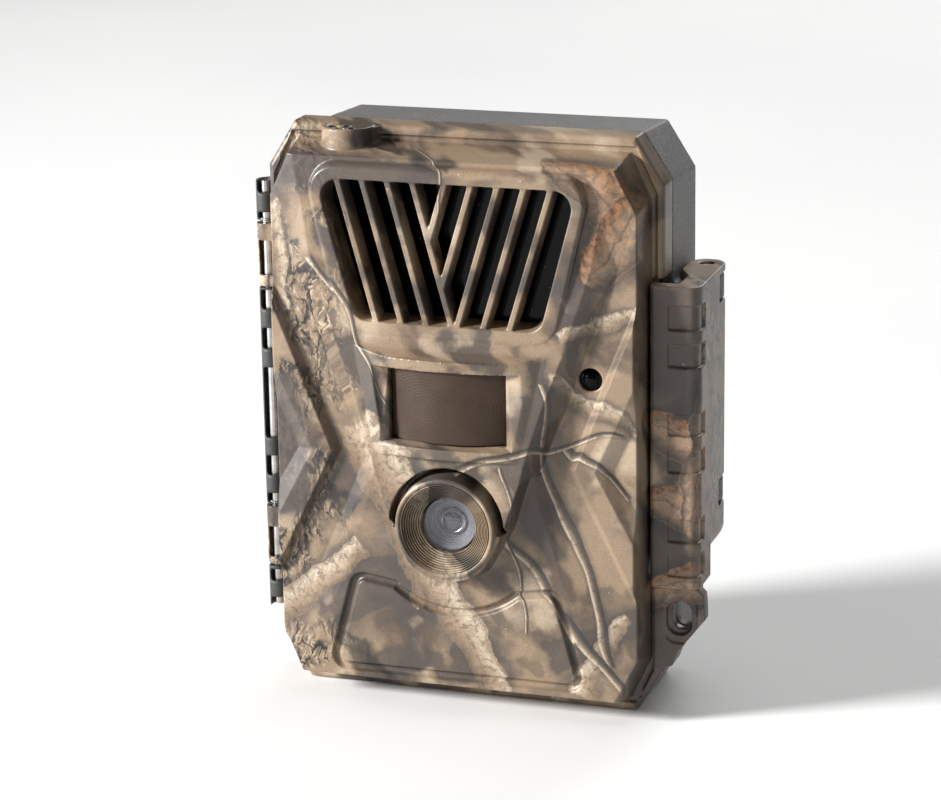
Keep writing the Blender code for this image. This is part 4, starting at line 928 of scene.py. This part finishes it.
def pir_recess():
    """Opening in the hood, which flares from the sheet to the front."""
    front = [(21.6, PIR_TOP), (-21.6, PIR_TOP), (-16.4, -2.7), (16.4, -2.7)]
    back = [(PIR_HALF, PIR_TOP), (-PIR_HALF, PIR_TOP), (-PIR_HALF, PIR_BOTTOM),
            (PIR_HALF, PIR_BOTTOM)]
    return loft("pir_recess", [(-30.0, front), (PIR_FRONT_Y + 1.4, front), (-25.2, back),
                               (-16.0, back)])


def rib(name, top_x, bottom_x, top_z, bottom_z):
    """Slanted grille bar between two heights, narrower at the front."""
    sections = []
    for y, half in ((-24.5, 0.42 * RIB_WIDTH), (-24.2, 0.5 * RIB_WIDTH), (-19.9, 0.6 * RIB_WIDTH)):
        sections.append((y, [(bottom_x - half, bottom_z), (bottom_x + half, bottom_z),
                             (top_x + half, top_z), (top_x - half, top_z)]))
    return loft(name, sections)


def grille_ribs():
    """Four bars lean right, four lean left and meet the fourth, and one closes the point."""
    top = GRILLE_TOP + 1.0
    bottom = GRILLE_BOTTOM - 1.0
    lean = 9.3
    height = top - bottom
    ribs = []
    for i in range(4):
        start = -26.0 + 6.0 * i
        ribs.append(rib(f"rib_left_{i}", start, start + lean, top, bottom))
    for i in range(5):
        start = 0.2 + 6.2 * i
        drop = min((start + 8.0) * height / (lean + 10.6), height)
        ribs.append(rib(f"rib_right_{i}", start, start - 10.6 * drop / height, top, top - drop))
    return ribs


def microphone_boss():
    """Round boss on the top left with a flower of sound holes and a tapering nose."""
    x, y = SOUND_BOSS
    top = HALF_HEIGHT - 0.05
    boss = rod("sound_boss", "Z", SOUND_BOSS, 58.0, top, 6.2, 5.9)
    cut(boss, rod("sound_dish", "Z", SOUND_BOSS, top - 0.25, 70.0, 4.8, 5.4))
    for k in range(6):
        angle = math.radians(60 * k + 15)
        spot = (x + 3.1 * math.cos(angle), y + 3.1 * math.sin(angle))
        cut(boss, rod(f"sound_hole_{k}", "Z", spot, 65.0, 70.0, 1.25, 1.5, sides=24))
    cut(boss, rod("sound_hole", "Z", SOUND_BOSS, 64.0, 70.0, 1.1, sides=24))
    nose = [(x + 3.4, y - 4.7), (-19.6, -12.0), (-19.0, -9.6), (-19.6, -7.4), (x, -7.4)]
    return [boss, extrude("sound_nose", "Z", [nose], 59.0, top - 0.25)]


def hinge_window(name, low, high):
    """Cored window in the front of the hinge strip, open through beside the body."""
    left, right = HINGE_X - HINGE_RADIUS + 0.8, HINGE_X + HINGE_RADIUS + 0.3
    slit = HINGE_X + HINGE_PIN_RADIUS + 0.5
    front, middle, back = PARTING_Y - 4.0, PARTING_Y + 0.2, PARTING_Y + 4.2
    outline = [(left, front), (right, front), (right, back), (slit, back), (slit, middle),
               (left, middle)]
    return extrude(name, "Z", [outline], low, high)


def eye_plate():
    """Padlock plate on the right edge; its oval hole has a dished lower left rim."""
    outline = [(45.0, -36.5), (55.6, -36.5), (56.9, -37.8), (57.2, -43.6), (50.6, -52.2),
               (49.4, -55.6), (45.0, -57.0)]
    plate = extrude("cover_eye", "Y", [outline, oval(EYE, 4.6, 6.8)], -12.6, -9.2)
    dish = oval((EYE[0] - 0.6, EYE[1] - 0.6), 6.0, 8.4)
    arch = rounded([(47.6, -50.0), (55.4, -50.0), (55.4, -38.2), (47.6, -38.2)], 2.6)
    return cut(plate, extrude("eye_dish", "Y", [dish], -14.0, -11.4),
               extrude("eye_arch", "Y", [arch], -14.0, -12.25))


def lens_boss():
    """Ring that stands out round the lens, with a conical mouth and foot."""
    root = -18.4
    profile = [(7.4, root), (7.4, -25.3), (10.85, -28.7), (11.0, BOSS_FRONT_Y),
               (11.5, BOSS_FRONT_Y), (11.9, BOSS_FRONT_Y + 0.3), (12.6, BLOCK_FRONT_Y - 0.6),
               (13.4, BLOCK_FRONT_Y), (13.4, root)]
    return turned("lens_boss", "Y", LENS, profile, closed=True)


def screw_posts():
    """Four posts inside the cover, bored for the panel's screws."""
    posts = []
    for x in (-36.0, 36.0):
        for z in (-54.0, 54.0):
            post = rod(f"post_{x:.0f}_{z:.0f}", "Y", (x, z), -18.9, -6.9, 3.2, sides=32)
            bore = rod(f"post_bore_{x:.0f}_{z:.0f}", "Y", (x, z), -15.5, -6.0, 1.5, sides=24)
            posts.append(cut(post, bore))
    return posts


def cover_hinge():
    """Two knuckles on the left edge, each with a cored window."""
    place = (HINGE_X, PARTING_Y)
    bore = rod("cover_hinge_bore", "Z", place, -55.0, 55.0, HINGE_PIN_RADIUS + 0.3, sides=24)
    leaves = []
    for i, (span, window) in enumerate(zip(COVER_KNUCKLES, COVER_WINDOWS)):
        knuckle = rod(f"cover_knuckle_{i}", "Z", place, *span, HINGE_RADIUS)
        arm = cuboid(f"cover_arm_{i}", (HINGE_X, 1.0 - HALF_WIDTH), (-7.0, PARTING_Y), span)
        opening = hinge_window(f"cover_window_{i}", *window)
        leaves += [cut(knuckle, opening, bore), cut(arm, opening, bore)]
    return leaves


def cover_openings():
    """Everything cut through the cover's wall."""
    inner = block_outline(3.4, 0.0)
    return [
        loft("cover_hollow", [(0.0, inner), (-18.4, inner)]),
        extrude("lens_moat", "Y", [arc(LENS, 13.8, -4, 184, 48)], -31.0, PLATEAU_FRONT_Y),
        rod("lens_hole", "Y", LENS, -31.0, INSIDE_Y, 10.0),
        rod("sensor_hole", "Y", SENSOR, -26.0, -16.0, 2.7),
        rod("sensor_dish", "Y", SENSOR, -23.4, BLOCK_FRONT_Y + 0.4, 3.6, 2.5),
        rod("microphone_bore", "Z", MICROPHONE, 50.0, 65.4, 3.3),
        loft("grille_opening", [(-26.0, trapezoid(0.4)), (GRILLE_FRONT_Y, trapezoid(0.0)),
                                (-17.5, trapezoid(-1.0))]),
        pir_recess(),
        cuboid("latch_notch", (BLOCK_HALF_WIDTH + 0.05, 50.0), (-14.0, -4.0),
               (LATCH_BOTTOM - 0.6, LATCH_TOP + 0.6)),
    ]


def cover_shell():
    """The whole camouflaged cover, as one soft-edged moulding."""
    flange = loft("flange", [(PARTING_Y, body_outline(0.0)), (-10.8, body_outline(0.0)),
                             (-11.6, body_outline(0.3)), (FLANGE_FRONT_Y, body_outline(1.1))])
    valley = extrude("flange_valley", "Y", [block_outline(-1.3, 0.0), block_outline(0.4, 0.0)],
                     -14.0, -11.4)
    cut(flange, valley, rod("corner_dimple", "Y", (41.6, -63.4), -14.0, -11.5, 1.1, sides=24))
    grow = 3.1
    frame_ring = loft("grille_frame", [(BLOCK_FRONT_Y + 0.6, trapezoid(grow + 0.8)),
                                       (GRILLE_FRONT_Y + 0.6, trapezoid(grow + 0.2)),
                                       (GRILLE_FRONT_Y, trapezoid(grow - 0.5))])
    walls = [flange, block_solid("cover_block", FLANGE_FRONT_Y + 1.0, BLOCK_FRONT_Y), plateau(),
             mask(), frame_ring, pir_hood(), chevron(1), chevron(-1)]
    openings = cover_openings()
    for wall in walls:
        cut(wall, *openings)
    details = [lens_boss(), eye_plate(), *screw_posts(), *cover_hinge(), *microphone_boss(),
               *grille_ribs()]
    cover = melt("cover_shell", walls + details)
    soften(cover, 0.25, 1, 0.16)
    finish_piece(cover, "cover", "camo_plastic", CAMO, "front_cover")


# ---------------------------------------------------------------- optics

def lens_piece(name, profile, slot, look, *nodes, closed=False):
    """Turned piece on the lens axis."""
    finish_piece(turned(name, "Y", LENS, profile, closed=closed), "cover", slot, look, *nodes)


def bulge(radius, y, height, start, step):
    """Profile of a flattened dome that stands height in front of y, from start degrees on."""
    return [(radius * math.cos(math.radians(a)), y - height * math.sin(math.radians(a)))
            for a in range(start, 90, step)] + [(0.0, y - height)]


def lens_rings():
    """Stepped funnel inside the lens boss, sawtooth rings from the rim to the window."""
    steps = 9
    outer, inner = 10.8, 6.7
    front, back = -28.9, -25.9
    pitch = (outer - inner) / steps
    rise = (front - back) / steps
    profile = [(7.2, -24.6), (inner, -24.6)]
    for k in range(steps):
        near = inner + pitch * k
        y = back + rise * k
        profile += [(near, y + 0.18), (near + 0.05, y - 0.50), (near + 0.17, y - 0.54),
                    (near + pitch - 0.04, y + rise + 0.22)]
    profile += [(outer, front - 0.1), (10.95, front - 0.1), (7.2, -25.0)]
    lens_piece("lens_rings", profile, "camo_plastic", CAMO, closed=True)


def lens_plate():
    """Clear disc in front of the lens, with a bevelled rim."""
    profile = [(0.0, -24.75), (6.1, -24.75), (6.35, -25.0), (6.35, -25.65), (6.15, -25.85),
               (0.0, -25.85)]
    lens_piece("lens_plate", profile, "lens_glass", GLASS, "lens_window")


def lens_barrel_front():
    """Barrel with a stepped mouth round the front element."""
    profile = [(0.0, -13.6), (5.4, -13.6), (5.4, -23.4), (6.2, -24.0), (6.2, -24.6)]
    turns = 5
    for k in range(turns):
        reach = 6.1 - 2.6 * k / turns
        depth = -24.5 + 2.2 * k / turns
        profile += [(reach, depth), (reach - 0.12, depth + 0.30)]
    profile += [(3.2, -22.2), (3.2, -20.6), (0.0, -20.6)]
    lens_piece("barrel", profile, "black_plastic", BARREL, "lens_barrel")
    dome = [(0.0, -20.9), (3.0, -20.9), (3.0, -21.9), *bulge(3.0, -21.9, 1.4, 10, 10)]
    lens_piece("front_element", dome, "lens_glass", COATED, "lens_element")
    ring = [(3.15, -22.2), (2.55, -22.75), (2.45, -22.95), (2.6, -23.05), (3.15, -22.75)]
    lens_piece("element_ring", ring, "steel", STEEL, closed=True)


def pir_sheet():
    """Curved Fresnel sheet: shallow concentric grooves in three zones."""
    columns, rows = 180, 120
    radius = 27.0
    centre_y = -27.4 + radius
    half = PIR_HALF - 0.35
    low, high = PIR_BOTTOM + 0.35, PIR_TOP - 0.35
    bm = bmesh.new()
    front, back = [], []
    for i in range(columns + 1):
        x = half * (2 * i / columns - 1)
        for k in range(rows + 1):
            z = low + (high - low) * k / rows
            lobe = max(-1, min(1, round(x / 7.0)))
            reach = math.hypot(x - 5.2 * lobe, 1.2 * (z - 0.5 * (low + high)))
            groove = 0.03 * abs((reach / 0.42) % 2 - 1)
            depth = centre_y - math.sqrt(radius * radius - x * x)
            front.append(bm.verts.new(at(x, depth + groove, z)))
            back.append(bm.verts.new(at(x, depth + 1.0, z)))
    tall = rows + 1
    for i in range(columns):
        for k in range(rows):
            a = i * tall + k
            corners = (a, a + 1, a + tall + 1, a + tall)
            bm.faces.new([front[c] for c in corners])
            bm.faces.new([back[c] for c in reversed(corners)])
    rim = ([i * tall for i in range(columns + 1)]
           + [columns * tall + k for k in range(1, tall)]
           + [i * tall + rows for i in range(columns - 1, -1, -1)]
           + [k for k in range(rows - 1, 0, -1)])
    for a, b in zip(rim, rim[1:] + rim[:1]):
        bm.faces.new([front[a], front[b], back[b], back[a]])
    sheet = new_object("pir_sheet", mesh_from(bm, "pir_sheet"), smooth=True)
    finish_piece(sheet, "cover", "fresnel_plastic", FRESNEL, "pir_lens")


def sensor_cap():
    """Light sensor's glossy dome in its ring."""
    dome = [(0.0, -15.6), (2.3, -15.6), (2.3, -20.2), *bulge(1.9, -20.3, 1.0, 0, 9)]
    finish_piece(turned("sensor_cap", "Y", SENSOR, dome), "cover", "infrared_window", WINDOW,
                 "sensor_dome")


# ---------------------------------------------------------------- latch

def latch_shell():
    """Side latch: a long clip whose lip wraps over the body's front edge."""
    corner = (LATCH_OUTER - 2.6, LATCH_FRONT_Y + 2.6)
    ring = arc(LATCH_PIVOT, LATCH_RADIUS, 180, 0, 24)
    front = arc(corner, 2.6, 0, -90, 10)
    lip = arc((LATCH_LIP_X + 1.0, LATCH_FRONT_Y + 1.2), 1.0, -90, -180, 5)
    outline = ring + front + lip
    outline += [(LATCH_LIP_X, FLANGE_FRONT_Y - 0.3), (50.8, FLANGE_FRONT_Y - 0.3),
                (50.8, -4.2), (47.9, 1.2)]
    clip = extrude("latch_shell", "Z", [outline], LATCH_BOTTOM, LATCH_TOP)
    for i, (low, high) in enumerate(LATCH_LUGS):
        cut(clip, cuboid(f"lug_room_{i}", (47.0, 58.0),
                         (LATCH_PIVOT[1] - LATCH_RADIUS - 0.6, 14.0), (low - 0.5, high + 0.5)))
    for i, (low, high) in enumerate(LATCH_GRIPS):
        pad = arc(corner, 2.0, 0, -90, 10)
        pad += [(49.0, LATCH_FRONT_Y + 0.6), (49.0, -18.0), (59.0, -18.0),
                (59.0, -10.4), (55.8, -10.4)]
        cut(clip, extrude(f"grip_pad_{i}", "Z", [pad], low, high))
    sweep = [(60.0, -38.0), *arc((LATCH_OUTER - 11.4, -24.2), 11.4, -90, 0, 16), (60.0, -24.2)]
    cut(clip, extrude("latch_corner", "Y", [sweep], -4.0, 16.0))
    cut(clip, rod("latch_bore", "Z", LATCH_PIVOT, -24.0, 38.0, 1.7, sides=32))
    soften(clip, 0.2, 1, 0.3)
    finish_piece(clip, "latch", "camo_plastic", CAMO, "latch")


# ---------------------------------------------------------------- cells

def round_cells():
    """Cells with a pip at the top, a rolled shoulder and a crimped base."""
    for i in range(1, 9):
        name = f"cell_{i}"
        low, high = (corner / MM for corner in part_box(name))
        centre = (0.5 * (low.x + high.x), 0.5 * (low.y + high.y))
        top, base = high.z - HALF_HEIGHT, low.z - HALF_HEIGHT
        profile = [(0.0, top), (1.9, top), (2.4, top - 0.25), (2.55, top - 1.1),
                   (5.6, top - 1.2), (6.4, top - 1.4), (6.9, top - 1.8), (7.1, top - 2.4),
                   (7.1, base + 0.9), (6.9, base + 0.4), (6.4, base + 0.15), (5.8, base + 0.3),
                   (5.5, base + 0.6), (4.6, base + 0.6), (4.2, base), (0.0, base)]
        finish_piece(turned(f"round_{name}", "Z", centre, profile, 48), "housing",
                     "cell_sleeve", CELL, name)


# ---------------------------------------------------------------- carried-over nodes

def dress_nodes():
    """Materials and rounded edges for the CAD nodes that keep their own shape."""
    looks = {"rear_housing": GREY, "housing_seal": RUBBER, "strap_bracket": BLACK,
             "tripod_insert": BRASS, "dc_jack": BLACK, "battery_tray": BLACK,
             "hinge_pin": STEEL, "latch_pin": STEEL, "ir_window": WINDOW,
             "pir_retainer": BLACK, "ir_led_board": BOARD, "lens_holder": BLACK,
             "sensor_board": BOARD, "main_board": BOARD, "pir_sensor": STEEL,
             "microphone": STEEL, "inner_panel": BLACK, "lcd_screen": SCREEN,
             "card_socket": STEEL, "usb_port": STEEL, "power_plug": RUBBER,
             "mode_switch": KEY, "memory_card": CARD, "ir_cut_filter": GLASS}
    families = {"bracket_screw_": STEEL, "cell_": CELL, "spring_contact_": STEEL,
                "contact_bridge_": STEEL, "panel_screw_": STEEL, "power_pin_": BRASS,
                "key_": KEY}
    soft = {"rear_housing": 0.42, "strap_bracket": 0.36, "inner_panel": 0.34,
            "battery_tray": 0.42}
    for name, node in NODES.items():
        if node.hide_render:
            continue
        look = looks.get(name)
        for prefix, family_look in families.items():
            if name.startswith(prefix):
                look = family_look
        node.data.materials.clear()
        node.data.materials.append(look)
        if name in soft:
            soften(node, soft[name], 3, 0.2)
            continue
        bevel = node.modifiers.new("Bevel", "BEVEL")
        bevel.width = 0.15 * MM
        bevel.segments = 2
        bevel.limit_method = "ANGLE"
        bevel.angle_limit = math.radians(40)


# ---------------------------------------------------------------- stage, camera and lights

def studio():
    """Pale floor under the camera, soft lights and the viewpoint."""
    bm = bmesh.new()
    bmesh.ops.create_circle(bm, cap_ends=True, segments=96, radius=6.0)
    floor = bpy.data.objects.new("studio_floor", mesh_from(bm, "studio_floor"))
    PIECES.objects.link(floor)
    floor.location.z = -0.0002
    floor.data.materials.append(studio_floor())

    target = Vector((0.0, 0.0, HALF_HEIGHT * MM))
    for name, place, size, power in (("key", (-1.25, -0.80, 0.56), 0.34, 54.0),
                                     ("fill", (1.3, -0.6, 0.45), 0.8, 3.0),
                                     ("top", (0.10, 0.05, 1.35), 0.6, 3.5),
                                     ("back", (0.30, 1.75, 1.20), 1.4, 22.0)):
        lamp = bpy.data.lights.new(name, "AREA")
        lamp.shape = "DISK"
        lamp.size = size
        lamp.energy = power
        light = bpy.data.objects.new(name, lamp)
        bpy.context.scene.collection.objects.link(light)
        light.location = place
        light.rotation_euler = (target - Vector(place)).to_track_quat("-Z", "Y").to_euler()

    world = bpy.data.worlds.new("studio")
    world.use_nodes = True
    backdrop = world.node_tree.nodes["Background"]
    backdrop.inputs["Color"].default_value = (1.0, 0.99, 0.98, 1.0)
    backdrop.inputs["Strength"].default_value = 0.07
    bpy.context.scene.world = world
    bpy.context.scene.view_settings.view_transform = "Standard"

    azimuth, elevation, roll = (math.radians(a) for a in (18.665, 16.213, -0.946))
    view = Vector((-math.sin(azimuth) * math.cos(elevation),
                   math.cos(azimuth) * math.cos(elevation), -math.sin(elevation)))
    level = Vector((math.cos(azimuth), math.sin(azimuth), 0.0))
    upright = level.cross(view)
    right = math.cos(roll) * level + math.sin(roll) * upright
    up = -math.sin(roll) * level + math.cos(roll) * upright
    lens = bpy.data.cameras.new("photographer")
    lens.lens = 122.4
    lens.sensor_width = 36.0
    camera = bpy.data.objects.new("photographer", lens)
    bpy.context.scene.collection.objects.link(camera)
    turn = Matrix((right, up, -view)).transposed()
    camera.matrix_world = Matrix.Translation((0.22779, -0.68295, 0.27848)) @ turn.to_4x4()
    bpy.context.scene.camera = camera


cover_shell()
lens_rings()
lens_plate()
lens_barrel_front()
pir_sheet()
sensor_cap()
latch_shell()
round_cells()
dress_nodes()
studio()

for shape in list(CUTTERS.objects):
    bpy.data.objects.remove(shape, do_unlink=True)
